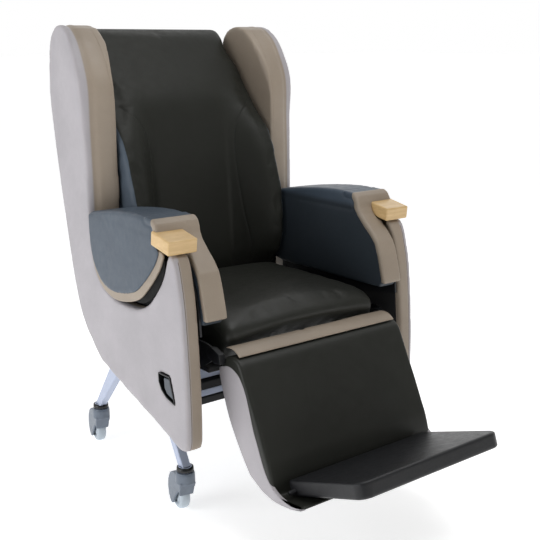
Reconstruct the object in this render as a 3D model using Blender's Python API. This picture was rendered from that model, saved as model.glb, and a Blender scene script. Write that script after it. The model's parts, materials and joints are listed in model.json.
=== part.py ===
"""Patient recliner chair: winged side shells, reclining back, hinged leg rest and
foot board, lift-out arms, release lever and four castors.

Frame: metres, +Z up, floor at z = 0, the chair faces -Y, symmetric about x = 0.
The sitter's right side is -X. Depths are written from the front face of the wooden
grips (d) and moved to the frame with y = d - DEPTH_SHIFT.
"""

import math

import bmesh
import bpy
from mathutils import Matrix, Vector

# ---- driving dimensions ---------------------------------------------------------
DEPTH_SHIFT = 0.115876
GAP = 0.0006

# side shells: 38 mm upholstered panels, closer together at the back than in front
SHELL_OUT = 0.357
SHELL_THICK = 0.038
SHELL_TOE = 0.0595
SHELL_EDGE = 0.010
LINER_NEAR = 0.0010
LINER_FAR = 0.0070
WING_IN = 0.2490

# seat
SEAT_HALF = 0.2425
SEAT_BOARD_LOW = 0.3735
SEAT_BOARD_TOP = 0.3860
BAR_TOP = SEAT_BOARD_LOW - GAP
SIDE_PLATE_IN = 0.2640
SIDE_PLATE_OUT = 0.2690

# chassis
RAIL_NEAR = 0.0080
RAIL_FAR = 0.0320
CASTOR_FRONT_D = 0.074
CASTOR_REAR_D = 0.560
CASTOR_TURN = math.radians(12.7)
CASTOR_TRAIL = 0.035
WHEEL_R = 0.0375
WHEEL_W = 0.0250
SOCKET_LOW = 0.0985
SOCKET_TOP = 0.1260
SOCKET_R = 0.0165
STEM_R = 0.0055
STEM_HOLE_R = 0.0058

# joints (d, z)
BACK_PIVOT = (0.500, 0.420)
LEG_PIVOT = (0.000, 0.430)
FOOT_PIVOT = (-0.249, 0.165)
PIN_R = 0.0060
PIN_HOLE_R = 0.00612
ROD_Z = 0.302
ROD_PIN_D = 0.531

# arms
ARM_IN = 0.2470
ARM_PLATE_NEAR = 0.0105
ARM_PLATE_FAR = 0.0160
ARM_PAD_FAR = 0.0170
ARM_CORE_FAR = 0.0265
ARM_CORE_TOP = 0.6880
ARM_PROUD = 0.0120
GRIP_X = (0.2930, 0.3700)
GRIP_Z = (0.6710, 0.7010)
GRIP_END = 0.0780
GRIP_CLEAR = 0.0032
ARM_REAR = 0.4270

# leg rest
LEG_HALF = 0.2530
CHEEK_IN = 0.2226
LEG_PAD_HALF = 0.2220
APRON_HALF = 0.2430
FOOT_HALF = 0.2160
FOOT_TILT = math.radians(20)
FOOT_THICK = 0.0360
FOOT_PIN_R = 0.0050
FOOT_HOLE_R = 0.0052


# ---- scene and materials --------------------------------------------------------
for old in list(bpy.data.objects):
    bpy.data.objects.remove(old, do_unlink=True)

COLOURS = {
    "vinyl_grey": (0.50, 0.47, 0.47, 0.45),
    "vinyl_taupe": (0.36, 0.29, 0.23, 0.45),
    "vinyl_charcoal": (0.030, 0.032, 0.029, 0.40),
    "vinyl_slate": (0.075, 0.105, 0.135, 0.40),
    "vinyl_black": (0.012, 0.012, 0.014, 0.45),
    "beech": (0.62, 0.40, 0.17, 0.40),
    "steel_silver": (0.62, 0.64, 0.70, 0.30),
    "steel_black": (0.015, 0.015, 0.017, 0.40),
    "plastic_grey": (0.10, 0.11, 0.13, 0.45),
    "plastic_black": (0.010, 0.010, 0.012, 0.40),
    "tread": (0.42, 0.49, 0.55, 0.50),
    "board_black": (0.010, 0.010, 0.011, 0.60),
}
METALS = {"steel_silver"}


def material_for(name, kind):
    made = bpy.data.materials.new(name + "_mat")
    made.use_nodes = True
    shader = made.node_tree.nodes["Principled BSDF"]
    red, green, blue, rough = COLOURS[kind]
    shader.inputs["Base Color"].default_value = (red, green, blue, 1.0)
    shader.inputs["Roughness"].default_value = rough
    shader.inputs["Metallic"].default_value = 0.9 if kind in METALS else 0.0
    made.diffuse_color = (red, green, blue, 1.0)
    return made


def object_from(name, verts, faces, kind):
    mesh = bpy.data.meshes.new(name)
    mesh.from_pydata([tuple(v) for v in verts], [], faces)
    work = bmesh.new()
    work.from_mesh(mesh)
    bmesh.ops.recalc_face_normals(work, faces=work.faces)
    if work.calc_volume(signed=True) < 0:
        bmesh.ops.reverse_faces(work, faces=work.faces)
    work.to_mesh(mesh)
    work.free()
    made = bpy.data.objects.new(name, mesh)
    bpy.context.scene.collection.objects.link(made)
    made.data.materials.append(material_for(name, kind))
    return made


def soften(obj, width, segments=2, angle=40.0):
    bevel = obj.modifiers.new("soft_edges", "BEVEL")
    bevel.width = width
    bevel.segments = segments
    bevel.limit_method = "ANGLE"
    bevel.angle_limit = math.radians(angle)
    bevel.use_clamp_overlap = True
    return obj


def bake(obj):
    """Makes the object's evaluated shape its mesh, so that later steps can use it."""
    graph = bpy.context.evaluated_depsgraph_get()
    baked = bpy.data.meshes.new_from_object(obj.evaluated_get(graph))
    obj.modifiers.clear()
    obj.data = baked
    return obj


def combine(obj, other, operation):
    cut = obj.modifiers.new(operation.lower(), "BOOLEAN")
    cut.operation = operation
    cut.solver = "EXACT"
    cut.object = other
    bake(obj)
    bpy.data.objects.remove(other, do_unlink=True)
    return obj


# ---- shape helpers --------------------------------------------------------------
def curve(points, steps=3):
    """Catmull-Rom points through an open chain."""
    ends = [points[0]] + list(points) + [points[-1]]
    out = []
    for i in range(1, len(ends) - 2):
        a, b, c, d = ends[i - 1], ends[i], ends[i + 1], ends[i + 2]
        for s in range(steps):
            t = s / steps
            row = []
            for k in range(2):
                row.append(
                    0.5
                    * (
                        2 * b[k]
                        + (c[k] - a[k]) * t
                        + (2 * a[k] - 5 * b[k] + 4 * c[k] - d[k]) * t * t
                        + (3 * b[k] - a[k] - 3 * c[k] + d[k]) * t * t * t
                    )
                )
            out.append(tuple(row))
    out.append(tuple(points[-1]))
    return out


def at(value, d):
    return value(d) if callable(value) else value


def prism(name, outline, x_low, x_high, kind, side=1):
    """Solid between two x limits (numbers, or functions of depth) with a (d, z) outline."""
    count = len(outline)
    verts = []
    for limit in (x_low, x_high):
        for d, z in outline:
            verts.append((side * at(limit, d), d - DEPTH_SHIFT, z))
    faces = [list(range(count)), list(range(count, 2 * count))[::-1]]
    for i in range(count):
        j = (i + 1) % count
        faces.append([i, j, count + j, count + i])
    return object_from(name, verts, faces, kind)


def block(name, xs, ds, zs, kind, side=1):
    outline = [(ds[0], zs[0]), (ds[1], zs[0]), (ds[1], zs[1]), (ds[0], zs[1])]
    return prism(name, outline, xs[0], xs[1], kind, side)


def round_bar(name, start, end, radius, kind, sides=16):
    """Cylinder between two points given as (x, d, z)."""
    low = Vector((start[0], start[1] - DEPTH_SHIFT, start[2]))
    high = Vector((end[0], end[1] - DEPTH_SHIFT, end[2]))
    axis = (high - low).normalized()
    helper = Vector((0, 0, 1)) if abs(axis.z) < 0.9 else Vector((0, 1, 0))
    first = axis.cross(helper).normalized()
    second = axis.cross(first).normalized()
    verts = []
    for centre in (low, high):
        for i in range(sides):
            turn = 2 * math.pi * i / sides
            verts.append(centre + radius * (math.cos(turn) * first + math.sin(turn) * second))
    faces = [list(range(sides)), list(range(sides, 2 * sides))[::-1]]
    for i in range(sides):
        j = (i + 1) % sides
        faces.append([i, j, sides + j, sides + i])
    return object_from(name, verts, faces, kind)


def loft(name, sections, kind):
    """Closed solid through matching closed rings of (x, d, z) points."""
    count = len(sections[0])
    verts = []
    for ring in sections:
        for x, d, z in ring:
            verts.append((x, d - DEPTH_SHIFT, z))
    last = (len(sections) - 1) * count
    faces = [list(range(count)), list(range(last, last + count))[::-1]]
    for row in range(len(sections) - 1):
        for i in range(count):
            j = (i + 1) % count
            low = row * count
            faces.append([low + i, low + j, low + count + j, low + count + i])
    return object_from(name, verts, faces, kind)


def set_origin(obj, d, z, x=0.0):
    """Moves the object's origin to a joint's axis without moving its shape."""
    place = Vector((x, d - DEPTH_SHIFT, z))
    obj.data.transform(Matrix.Translation(-place))
    obj.matrix_world = Matrix.Translation(place)
    return obj


def line_at(points, value, by=1):
    """Linear look-up of the other coordinate along a chain of (d, z) points."""
    other = 1 - by
    for a, b in zip(points, points[1:]):
        low, high = sorted((a[by], b[by]))
        if low <= value <= high and high > low:
            share = (value - a[by]) / (b[by] - a[by])
            return a[other] + share * (b[other] - a[other])
    return points[0][other] if value < points[0][by] else points[-1][other]


def shell_outer(d):
    return SHELL_OUT - SHELL_TOE * d


def shell_inner(d):
    return shell_outer(d) - SHELL_THICK


def inset(amount):
    """Distance inwards from the shell's inner face, as a function of depth."""
    return lambda d: shell_inner(d) - amount


def proud(amount):
    return lambda d: shell_outer(d) + amount


# ---- side shells ----------------------------------------------------------------
SHELL_FRONT = [
    (-0.034, 0.222), (-0.043, 0.245), (-0.043, 0.320), (-0.040, 0.390), (-0.035, 0.460),
    (-0.028, 0.530), (-0.020, 0.580), (-0.006, 0.628), (0.009, 0.654),
]
SHELL_NOTCH = [
    (0.022, 0.660), (0.030, 0.650), (0.044, 0.625), (0.062, 0.594), (0.092, 0.560),
    (0.130, 0.528), (0.180, 0.506), (0.240, 0.499), (0.310, 0.499), (0.372, 0.516),
    (0.416, 0.554), (0.437, 0.610), (0.443, 0.662), (0.445, 0.702),
]
SHELL_WING = [
    (0.445, 0.702), (0.447, 0.800), (0.449, 0.860), (0.453, 0.920), (0.452, 0.981),
    (0.458, 1.029), (0.478, 1.079), (0.506, 1.126), (0.543, 1.157), (0.585, 1.165),
    (0.622, 1.157), (0.648, 1.135), (0.662, 1.100),
]
SHELL_REAR = [
    (0.669, 1.050), (0.672, 0.996), (0.667, 0.944), (0.649, 0.852), (0.627, 0.755),
    (0.601, 0.650), (0.577, 0.543), (0.547, 0.448), (0.496, 0.371), (0.411, 0.308),
]
SHELL_BOTTOM = [(0.411, 0.308), (0.259, 0.271), (0.139, 0.245), (0.040, 0.225), (-0.010, 0.2155)]
WING_FRONT = [
    (0.444, 0.560), (0.444, 0.640), (0.433, 0.704), (0.430, 0.760), (0.434, 0.853),
    (0.431, 0.916), (0.438, 1.003), (0.455, 1.052), (0.479, 1.093), (0.509, 1.128), (0.545, 1.155),
]
CUP = [
    (0.012, 0.316), (0.050, 0.324), (0.070, 0.337), (0.081, 0.355), (0.082, 0.377),
    (0.033, 0.379), (0.026, 0.357),
]
PADDLE = [
    (0.023, 0.3255), (0.050, 0.3330), (0.060, 0.3450), (0.062, 0.3690), (0.039, 0.3710),
    (0.033, 0.3530),
]


def scaled(outline, amount):
    """Outline moved outwards by about the amount, along rays from its middle."""
    mid_d = sum(p[0] for p in outline) / len(outline)
    mid_z = sum(p[1] for p in outline) / len(outline)
    out = []
    for d, z in outline:
        reach = math.hypot(d - mid_d, z - mid_z)
        grow = (reach + amount) / reach
        out.append((mid_d + (d - mid_d) * grow, mid_z + (z - mid_z) * grow))
    return out


def build_shell(side, tag):
    outline = curve(SHELL_FRONT, 2)
    outline += curve(SHELL_NOTCH, 2)[:-1]
    outline += curve(SHELL_WING, 2)
    outline += curve(SHELL_REAR, 2)[:-1]
    outline += curve(SHELL_BOTTOM, 1)
    shell = prism("side_shell_" + tag, outline, shell_inner, shell_outer, "vinyl_grey", side)
    soften(shell, SHELL_EDGE, 2)
    bake(shell)
    if side < 0:
        pocket = prism(
            "pocket", scaled(CUP, 0.0012), SHELL_OUT - 0.0265, SHELL_OUT + 0.05, "steel_black", side
        )
        combine(shell, pocket, "DIFFERENCE")
    liner = [
        (-0.028, 0.262), (-0.024, 0.400), (-0.014, 0.520), (0.010, 0.610), (0.040, 0.650),
        (0.380, 0.650), (0.425, 0.610), (0.425, 0.330), (0.250, 0.286), (0.060, 0.258),
    ]
    prism("side_liner_" + tag, liner, inset(LINER_FAR), inset(LINER_NEAR), "board_black", side)
    wing = curve(WING_FRONT, 2)
    wing += [(0.585, 1.1635), (0.620, 1.155), (0.645, 1.133), (0.659, 1.100)]
    wing += [(0.666, 1.050), (0.669, 0.996), (0.664, 0.944), (0.646, 0.852), (0.624, 0.755)]
    wing += [(0.598, 0.650), (0.575, 0.545)]
    pad = prism(
        "wing_pad_" + tag, wing, WING_IN, lambda d: shell_inner(d) - GAP, "vinyl_taupe", side
    )
    soften(pad, 0.010, 1)


build_shell(-1, "R")
build_shell(1, "L")


# ---- seat -----------------------------------------------------------------------
seat_board = block(
    "seat_board", (-0.2630, 0.2630), (0.012, 0.470), (SEAT_BOARD_LOW, SEAT_BOARD_TOP), "board_black"
)
soften(seat_board, 0.002, 1)

SEAT = curve(
    [
        (0.010, 0.3880), (-0.004, 0.4030), (-0.019, 0.4240), (-0.030, 0.4450),
        (-0.030, 0.4680), (-0.014, 0.4890),
        (0.030, 0.4980), (0.120, 0.5010), (0.250, 0.5000), (0.380, 0.4960), (0.428, 0.4880),
        (0.441, 0.4720), (0.446, 0.4400), (0.446, 0.4000), (0.440, 0.3880),
    ],
    1,
)
seat_cushion = prism("seat_cushion", SEAT, -SEAT_HALF, SEAT_HALF, "vinyl_charcoal")
soften(seat_cushion, 0.016, 2)


def side_plate(side, tag):
    """Steel plate beside the seat that carries the back's and the leg rest's pivots."""
    outline = [
        (-0.012, 0.412), (-0.016, 0.430), (-0.010, 0.444), (0.010, 0.448), (0.450, 0.448),
        (0.520, 0.448), (0.532, 0.432), (0.526, 0.404), (0.500, 0.392), (0.470, SEAT_BOARD_LOW),
        (0.060, SEAT_BOARD_LOW), (0.020, 0.392),
    ]
    plate = prism("seat_side_plate_" + tag, outline, SIDE_PLATE_IN, SIDE_PLATE_OUT, "steel_black", side)
    for d, z in (BACK_PIVOT, LEG_PIVOT):
        hole = round_bar("hole", (side * 0.24, d, z), (side * 0.30, d, z), PIN_HOLE_R, "steel_black", 24)
        combine(plate, hole, "DIFFERENCE")


side_plate(-1, "R")
side_plate(1, "L")

# ---- chassis --------------------------------------------------------------------
def cross_bar(name, ds, zs, half, kind, wall_edge=0.003):
    bar = block(name, (-half, half), ds, zs, kind)
    return soften(bar, wall_edge, 2)


cross_bar("seat_cross_front", (0.086, 0.126), (0.3300, BAR_TOP), 0.3020, "steel_silver")
cross_bar("seat_cross_rear", (0.400, 0.440), (0.3300, BAR_TOP), 0.2830, "steel_silver")
cross_bar("mechanism_tube", (0.080, 0.120), (0.2890, 0.3290), 0.3020, "steel_black", 0.006)
cross_bar("chassis_cross_front", (0.078, 0.108), (0.2670, 0.2870), 0.2790, "steel_black")
cross_bar("chassis_cross_rear", (0.400, 0.430), (0.2670, 0.2870), 0.2590, "steel_silver")


def build_rail(side, tag):
    front_x = shell_inner(CASTOR_FRONT_D) - 0.5 * (RAIL_NEAR + RAIL_FAR)
    rear_x = shell_inner(CASTOR_REAR_D) - 0.5 * (RAIL_NEAR + RAIL_FAR)
    half = 0.0135
    outline = [
        (CASTOR_FRONT_D - half, SOCKET_TOP - 0.006), (CASTOR_FRONT_D + half, SOCKET_TOP - 0.006),
        (0.176, 0.2500), (0.185, 0.2605), (0.415, 0.2605), (0.424, 0.2500),
        (CASTOR_REAR_D - half, SOCKET_TOP - 0.006), (CASTOR_REAR_D + half, SOCKET_TOP - 0.006),
        (0.453, 0.2760), (0.440, 0.2830), (0.070, 0.2830), (0.068, 0.2640), (0.150, 0.2620),
        (0.145, 0.2470),
    ]
    rail = prism("chassis_rail_" + tag, outline, inset(RAIL_FAR), inset(RAIL_NEAR), "steel_silver", side)
    soften(rail, 0.002, 1)
    bake(rail)
    for x, d in ((front_x, CASTOR_FRONT_D), (rear_x, CASTOR_REAR_D)):
        cup = round_bar(
            "cup", (side * x, d, SOCKET_LOW), (side * x, d, SOCKET_TOP), SOCKET_R, "plastic_black", 24
        )
        combine(rail, cup, "UNION")
        hole = round_bar(
            "hole", (side * x, d, SOCKET_LOW - 0.02), (side * x, d, SOCKET_LOW + 0.0170), STEM_HOLE_R,
            "plastic_black", 24,
        )
        combine(rail, hole, "DIFFERENCE")
    return front_x, rear_x


FRONT_X, REAR_X = build_rail(-1, "R")
build_rail(1, "L")


# ---- castors --------------------------------------------------------------------
def build_castor(tag, x, d):
    """Hood on a swivel stem, with a wheel trailing behind it."""
    turn = Matrix.Rotation(-CASTOR_TURN, 4, "Z")
    place = Matrix.Translation(Vector((x, d - DEPTH_SHIFT, 0.0))) @ turn
    back = DEPTH_SHIFT
    outline = curve(
        [
            (-0.019, 0.0600), (-0.0195, 0.0720), (-0.015, 0.0815), (0.000, 0.0850), (0.030, 0.0850),
            (0.050, 0.0805), (0.066, 0.0680), (0.0735, 0.0500), (0.071, 0.0330), (0.060, 0.0200),
            (0.046, 0.0160), (0.034, 0.0230), (0.014, 0.0420), (-0.006, 0.0560),
        ],
        1,
    )
    outline = [(u + back, z) for u, z in outline]
    hood = prism("castor_hood_" + tag, outline, -0.0180, 0.0180, "plastic_grey")
    soften(hood, 0.003, 1)
    bake(hood)
    hub = CASTOR_TRAIL + back
    slot = round_bar(
        "slot", (-0.0135, hub, WHEEL_R), (0.0135, hub, WHEEL_R), WHEEL_R + 0.0028, "plastic_grey", 28
    )
    combine(hood, slot, "DIFFERENCE")
    axle = round_bar("axle", (-0.0160, hub, WHEEL_R), (0.0160, hub, WHEEL_R), 0.0040, "plastic_grey", 16)
    combine(hood, axle, "UNION")
    collar = round_bar(
        "collar", (0, back, 0.0790), (0, back, SOCKET_LOW - GAP), 0.0150, "plastic_grey", 24
    )
    combine(hood, collar, "UNION")
    stem = round_bar(
        "stem", (0, back, 0.0900), (0, back, SOCKET_LOW + 0.0160), STEM_R, "plastic_grey", 16
    )
    combine(hood, stem, "UNION")
    hood.data.transform(turn)
    hood.matrix_world = Matrix.Translation(Vector((x, d - DEPTH_SHIFT, 0.0)))

    half = 0.5 * WHEEL_W
    profile = [
        (0.0043, -half), (0.0325, -half), (0.0358, -half + 0.0030), (WHEEL_R, -half + 0.0085),
        (WHEEL_R, half - 0.0085), (0.0358, half - 0.0030), (0.0325, half), (0.0043, half),
    ]
    sides = 24
    verts = []
    for i in range(sides):
        angle = 2 * math.pi * i / sides
        for r, w in profile:
            verts.append((w, r * math.cos(angle), r * math.sin(angle)))
    count = len(profile)
    faces = []
    for i in range(sides):
        j = (i + 1) % sides
        for k in range(count):
            m = (k + 1) % count
            faces.append([i * count + k, i * count + m, j * count + m, j * count + k])
    wheel = object_from("castor_wheel_" + tag, verts, faces, "tread")
    wheel.data.transform(turn)
    wheel.matrix_world = Matrix.Translation(place @ Vector((0.0, CASTOR_TRAIL, WHEEL_R)))


build_castor("FR", -FRONT_X, CASTOR_FRONT_D)
build_castor("FL", FRONT_X, CASTOR_FRONT_D)
build_castor("RR", -REAR_X, CASTOR_REAR_D)
build_castor("RL", REAR_X, CASTOR_REAR_D)

# ---- back -----------------------------------------------------------------------
BACK_BOARD = [
    (0.5440, 0.4500), (0.5600, 0.4500), (0.5800, 0.5430), (0.6050, 0.6550), (0.6280, 0.7600),
    (0.6480, 0.8520), (0.6670, 0.9440), (0.6790, 1.0200), (0.6930, 1.1000), (0.6830, 1.1050),
    (0.6680, 1.0500), (0.6500, 0.9440), (0.6310, 0.8520), (0.6110, 0.7600), (0.5880, 0.6550),
    (0.5630, 0.5430),
]
BACK_FACE = [
    (0.4560, 0.4900), (0.4580, 0.5300), (0.4640, 0.6000), (0.4720, 0.7000), (0.4820, 0.8000),
    (0.4940, 0.9000), (0.5080, 0.9600), (0.5310, 1.0050), (0.5640, 1.0480), (0.6020, 1.0950),
    (0.6320, 1.1330), (0.6560, 1.1520),
]
back_board = prism("back_board", BACK_BOARD, -0.2460, 0.2460, "vinyl_black")
soften(back_board, 0.004, 2)
back_outline = curve([(0.4640, 0.4760)] + BACK_FACE, 1)
back_outline += [
    (0.6720, 1.1580), (0.6880, 1.1540), (0.6960, 1.1400), (0.6980, 1.1180), (0.6940, 1.1060),
    (0.6826, 1.1062), (0.6672, 1.0500), (0.6492, 0.9440), (0.6302, 0.8520), (0.6102, 0.7600),
    (0.5872, 0.6550), (0.5622, 0.5430), (0.5480, 0.4760),
]
back_cushion = prism("back_cushion", back_outline, -0.2430, 0.2430, "vinyl_charcoal")
soften(back_cushion, 0.014, 2)

BOLSTER = [
    (0.4990, 0.3950), (0.5300, 0.3680), (0.5800, 0.3560), (0.6400, 0.3520), (0.7150, 0.3600),
    (0.7700, 0.3760), (0.8300, 0.3970), (0.8750, 0.4170), (0.9050, 0.4400), (0.9300, 0.4760),
]


def build_bolster(side, tag):
    sections = []
    for z, front in BOLSTER:
        face = line_at(BACK_FACE, z) - 0.0030
        depth = face - front
        ring = [
            (0.1300, face), (0.1420, face - 0.22 * depth), (0.1800, face - 0.62 * depth),
            (0.2100, face - 0.92 * depth), (0.2270, front), (0.2390, front + 0.12 * depth),
            (0.2430, front + 0.30 * depth), (0.2430, face),
        ]
        sections.append([(side * x, d, z) for x, d in ring])
    loft("back_bolster_" + tag, sections, "vinyl_charcoal")


build_bolster(-1, "R")
build_bolster(1, "L")


def build_back_hinge(side, tag):
    """Steel arm behind the back board's edge, with the pivot pin on it."""
    outline = [
        (0.486, 0.412), (0.486, 0.430), (0.500, 0.4370), (0.5660, 0.4440), (0.6090, 0.6200),
        (0.6250, 0.6200), (0.5900, 0.4500), (0.5640, 0.4080), (0.500, 0.4050),
    ]
    arm = prism("back_hinge_" + tag, outline, 0.2570, 0.2625, "steel_black", side)
    foot = block("foot", (0.2300, 0.2600), (0.6090, 0.6235), (0.5300, 0.6150), "steel_black", side)
    combine(arm, foot, "UNION")
    pin = round_bar(
        "pin", (side * 0.2600, *BACK_PIVOT), (side * 0.2710, *BACK_PIVOT), PIN_R, "steel_black", 24
    )
    combine(arm, pin, "UNION")
    set_origin(arm, *BACK_PIVOT)


build_back_hinge(-1, "R")
build_back_hinge(1, "L")

# gas spring under the seat: the cylinder hangs from the seat board, the rod follows the back
cylinder = round_bar("gas_cylinder", (0, 0.250, ROD_Z), (0, 0.440, ROD_Z), 0.0110, "steel_black", 24)
bore = round_bar("bore", (0, 0.270, ROD_Z), (0, 0.460, ROD_Z), 0.0052, "steel_black", 24)
combine(cylinder, bore, "DIFFERENCE")
hanger = block("hanger", (-0.0060, 0.0060), (0.2600, 0.2900), (0.3080, BAR_TOP), "steel_black")
combine(cylinder, hanger, "UNION")
rod = round_bar("gas_rod", (0, 0.345, ROD_Z), (0, 0.520, ROD_Z), 0.0050, "steel_silver", 24)
rod_eye = block("eye", (-0.0050, 0.0050), (0.514, 0.540), (ROD_Z - 0.008, ROD_Z + 0.008), "steel_silver")
combine(rod, rod_eye, "UNION")
rod_pin = round_bar("pin", (-0.0190, ROD_PIN_D, ROD_Z), (0.0190, ROD_PIN_D, ROD_Z), 0.0040, "steel_silver", 24)
combine(rod, rod_pin, "UNION")


def build_back_lever():
    """Forked lever below the back board that the gas spring's pin works in."""
    lever = None
    for side in (-1, 1):
        outline = [
            (0.5200, 0.4300), (0.5500, 0.4445), (0.5590, 0.4445), (0.5560, 0.3300), (0.5450, 0.2900),
            (0.5180, 0.2860), (0.5150, 0.3300),
        ]
        name = "back_lever" if lever is None else "cheek"
        cheek = prism(name, outline, 0.0075, 0.0135, "steel_black", side)
        lean = math.atan2(0.031, 0.116)
        slot = [
            (-0.0046, -0.020), (0.0046, -0.020), (0.0046, 0.012), (-0.0046, 0.012),
        ]
        turned = []
        for a, b in slot:
            turned_d = ROD_PIN_D + a * math.cos(lean) - b * math.sin(lean)
            turned_z = ROD_Z + a * math.sin(lean) + b * math.cos(lean)
            turned.append((turned_d, turned_z))
        cutter = prism("slot", turned, 0.0, 0.03, "steel_black", side)
        combine(cheek, cutter, "DIFFERENCE")
        if lever is None:
            lever = cheek
        else:
            combine(lever, cheek, "UNION")
    top = block("top", (-0.0300, 0.0300), (0.5400, 0.5590), (0.4380, 0.4492), "steel_black")
    combine(lever, top, "UNION")
    return set_origin(lever, *BACK_PIVOT)


build_back_lever()

# ---- leg rest -------------------------------------------------------------------
LEG_BACK = [
    (-0.0180, 0.3970), (-0.0190, 0.3760), (-0.0340, 0.3320), (-0.0570, 0.2780), (-0.0960, 0.2170),
    (-0.1330, 0.1700),
]
LEG_UNDER = [
    (-0.1330, 0.1700), (-0.1780, 0.1480), (-0.2250, 0.1400), (-0.2780, 0.1460), (-0.3210, 0.1590),
]
LEG_CHEEK_FRONT = [
    (-0.3220, 0.1670), (-0.2600, 0.1730), (-0.2250, 0.1870), (-0.2030, 0.2080), (-0.1800, 0.2460),
    (-0.1550, 0.2950), (-0.1300, 0.3455), (-0.1130, 0.3800), (-0.0980, 0.4080), (-0.0850, 0.4190),
    (-0.0650, 0.4250), (-0.0380, 0.4180), (-0.0230, 0.4080),
]
LEG_PAD_FRONT = [
    (-0.3170, 0.1650), (-0.2780, 0.1540), (-0.2350, 0.1485), (-0.2215, 0.1500), (-0.2165, 0.1600),
    (-0.2110, 0.1830), (-0.2000, 0.2150), (-0.1860, 0.2433), (-0.1610, 0.2950), (-0.1346, 0.3455),
    (-0.1170, 0.3800), (-0.1010, 0.4110), (-0.0880, 0.4250), (-0.0680, 0.4320), (-0.0400, 0.4250),
    (-0.0240, 0.4090),
]


def build_cheek(side, tag):
    outline = curve(LEG_BACK, 1)[:-1] + curve(LEG_UNDER, 1) + curve(LEG_CHEEK_FRONT, 1)
    cheek = prism("leg_cheek_" + tag, outline, CHEEK_IN, LEG_HALF, "vinyl_taupe", side)
    soften(cheek, 0.004, 1)
    bake(cheek)
    hole = round_bar(
        "hole", (side * 0.2100, *FOOT_PIVOT), (side * 0.2330, *FOOT_PIVOT), FOOT_HOLE_R, "vinyl_taupe", 24
    )
    combine(cheek, hole, "DIFFERENCE")
    set_origin(cheek, *LEG_PIVOT)


build_cheek(-1, "R")
build_cheek(1, "L")

leg_board_outline = [
    (-0.0200, 0.3760), (-0.0340, 0.3320), (-0.0570, 0.2780), (-0.0960, 0.2170), (-0.1270, 0.1780),
    (-0.1370, 0.1850), (-0.1070, 0.2240), (-0.0685, 0.2830), (-0.0460, 0.3360), (-0.0320, 0.3800),
]
leg_board = prism("leg_board", leg_board_outline, -LEG_PAD_HALF, LEG_PAD_HALF, "board_black")
set_origin(leg_board, *LEG_PIVOT)
pad_outline = [
    (-0.0190, 0.3960), (-0.0192, 0.3795), (-0.0328, 0.3812), (-0.0468, 0.3363), (-0.0692, 0.2835),
    (-0.1077, 0.2245), (-0.1380, 0.1852), (-0.1290, 0.1770),
]
pad_outline += curve([(-0.1340, 0.1690)] + LEG_UNDER[1:], 1) + curve(LEG_PAD_FRONT, 1)
leg_pad = prism("leg_pad", pad_outline, -LEG_PAD_HALF, LEG_PAD_HALF, "vinyl_charcoal")
set_origin(leg_pad, *LEG_PIVOT)


def build_leg_bracket(side, tag):
    """Steel arm from the cheek's inner upper end to the pivot pin beside the seat."""
    outline = [
        (0.010, 0.4250), (0.010, 0.4360), (0.002, 0.4420), (-0.008, 0.4400), (-0.0160, 0.4260),
        (-0.0360, 0.4060), (-0.0400, 0.3900), (-0.0220, 0.3880), (-0.0080, 0.4000), (0.0020, 0.4120),
    ]
    arm = prism("leg_bracket_" + tag, outline, 0.2560, 0.2625, "steel_black", side)
    pin = round_bar(
        "pin", (side * 0.2600, *LEG_PIVOT), (side * 0.2710, *LEG_PIVOT), PIN_R, "steel_black", 24
    )
    combine(arm, pin, "UNION")
    foot = prism(
        "foot", [(-0.0370, 0.4040), (-0.0390, 0.3920), (-0.0250, 0.3920), (-0.0250, 0.4040)],
        LEG_HALF + 0.0004, 0.2580, "steel_black", side,
    )
    combine(arm, foot, "UNION")
    set_origin(arm, *LEG_PIVOT)


build_leg_bracket(-1, "R")
build_leg_bracket(1, "L")

# loose apron that bridges the gap between the seat front and the leg rest
APRON = [
    (-0.0335, 0.4450), (-0.0480, 0.4470), (-0.0630, 0.4450), (-0.0760, 0.4390), (-0.0830, 0.4335),
    (-0.0815, 0.4320), (-0.0750, 0.4368), (-0.0625, 0.4425), (-0.0480, 0.4443), (-0.0335, 0.4422),
]
apron = prism("seat_apron", APRON, -APRON_HALF, APRON_HALF, "vinyl_taupe")
set_origin(apron, *LEG_PIVOT)


# ---- foot board -----------------------------------------------------------------
def build_foot_board():
    rear_top = Vector((-0.2320, 0.1840))
    length = 0.2380
    corner = 0.024
    plan = [
        (-FOOT_HALF, 0.0), (FOOT_HALF, 0.0), (FOOT_HALF, length - corner),
        (FOOT_HALF - 0.4 * corner, length - 0.3 * corner), (FOOT_HALF - corner, length),
        (corner - FOOT_HALF, length), (0.4 * corner - FOOT_HALF, length - 0.3 * corner),
        (-FOOT_HALF, length - corner),
    ]
    along = Vector((-math.cos(FOOT_TILT), math.sin(FOOT_TILT)))
    down = Vector((-math.sin(FOOT_TILT), -math.cos(FOOT_TILT)))
    verts = []
    for drop in (0.0, FOOT_THICK):
        for x, run in plan:
            point = rear_top + along * run + down * drop
            verts.append((x, point.x - DEPTH_SHIFT, point.y))
    count = len(plan)
    faces = [list(range(count)), list(range(count, 2 * count))[::-1]]
    for i in range(count):
        j = (i + 1) % count
        faces.append([i, j, count + j, count + i])
    board = object_from("foot_board", verts, faces, "vinyl_black")
    soften(board, 0.005, 2)
    bake(board)
    pin = round_bar(
        "pin", (-0.2310, *FOOT_PIVOT), (0.2310, *FOOT_PIVOT), FOOT_PIN_R, "steel_black", 24
    )
    combine(board, pin, "UNION")
    return set_origin(board, *FOOT_PIVOT)


build_foot_board()

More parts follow.
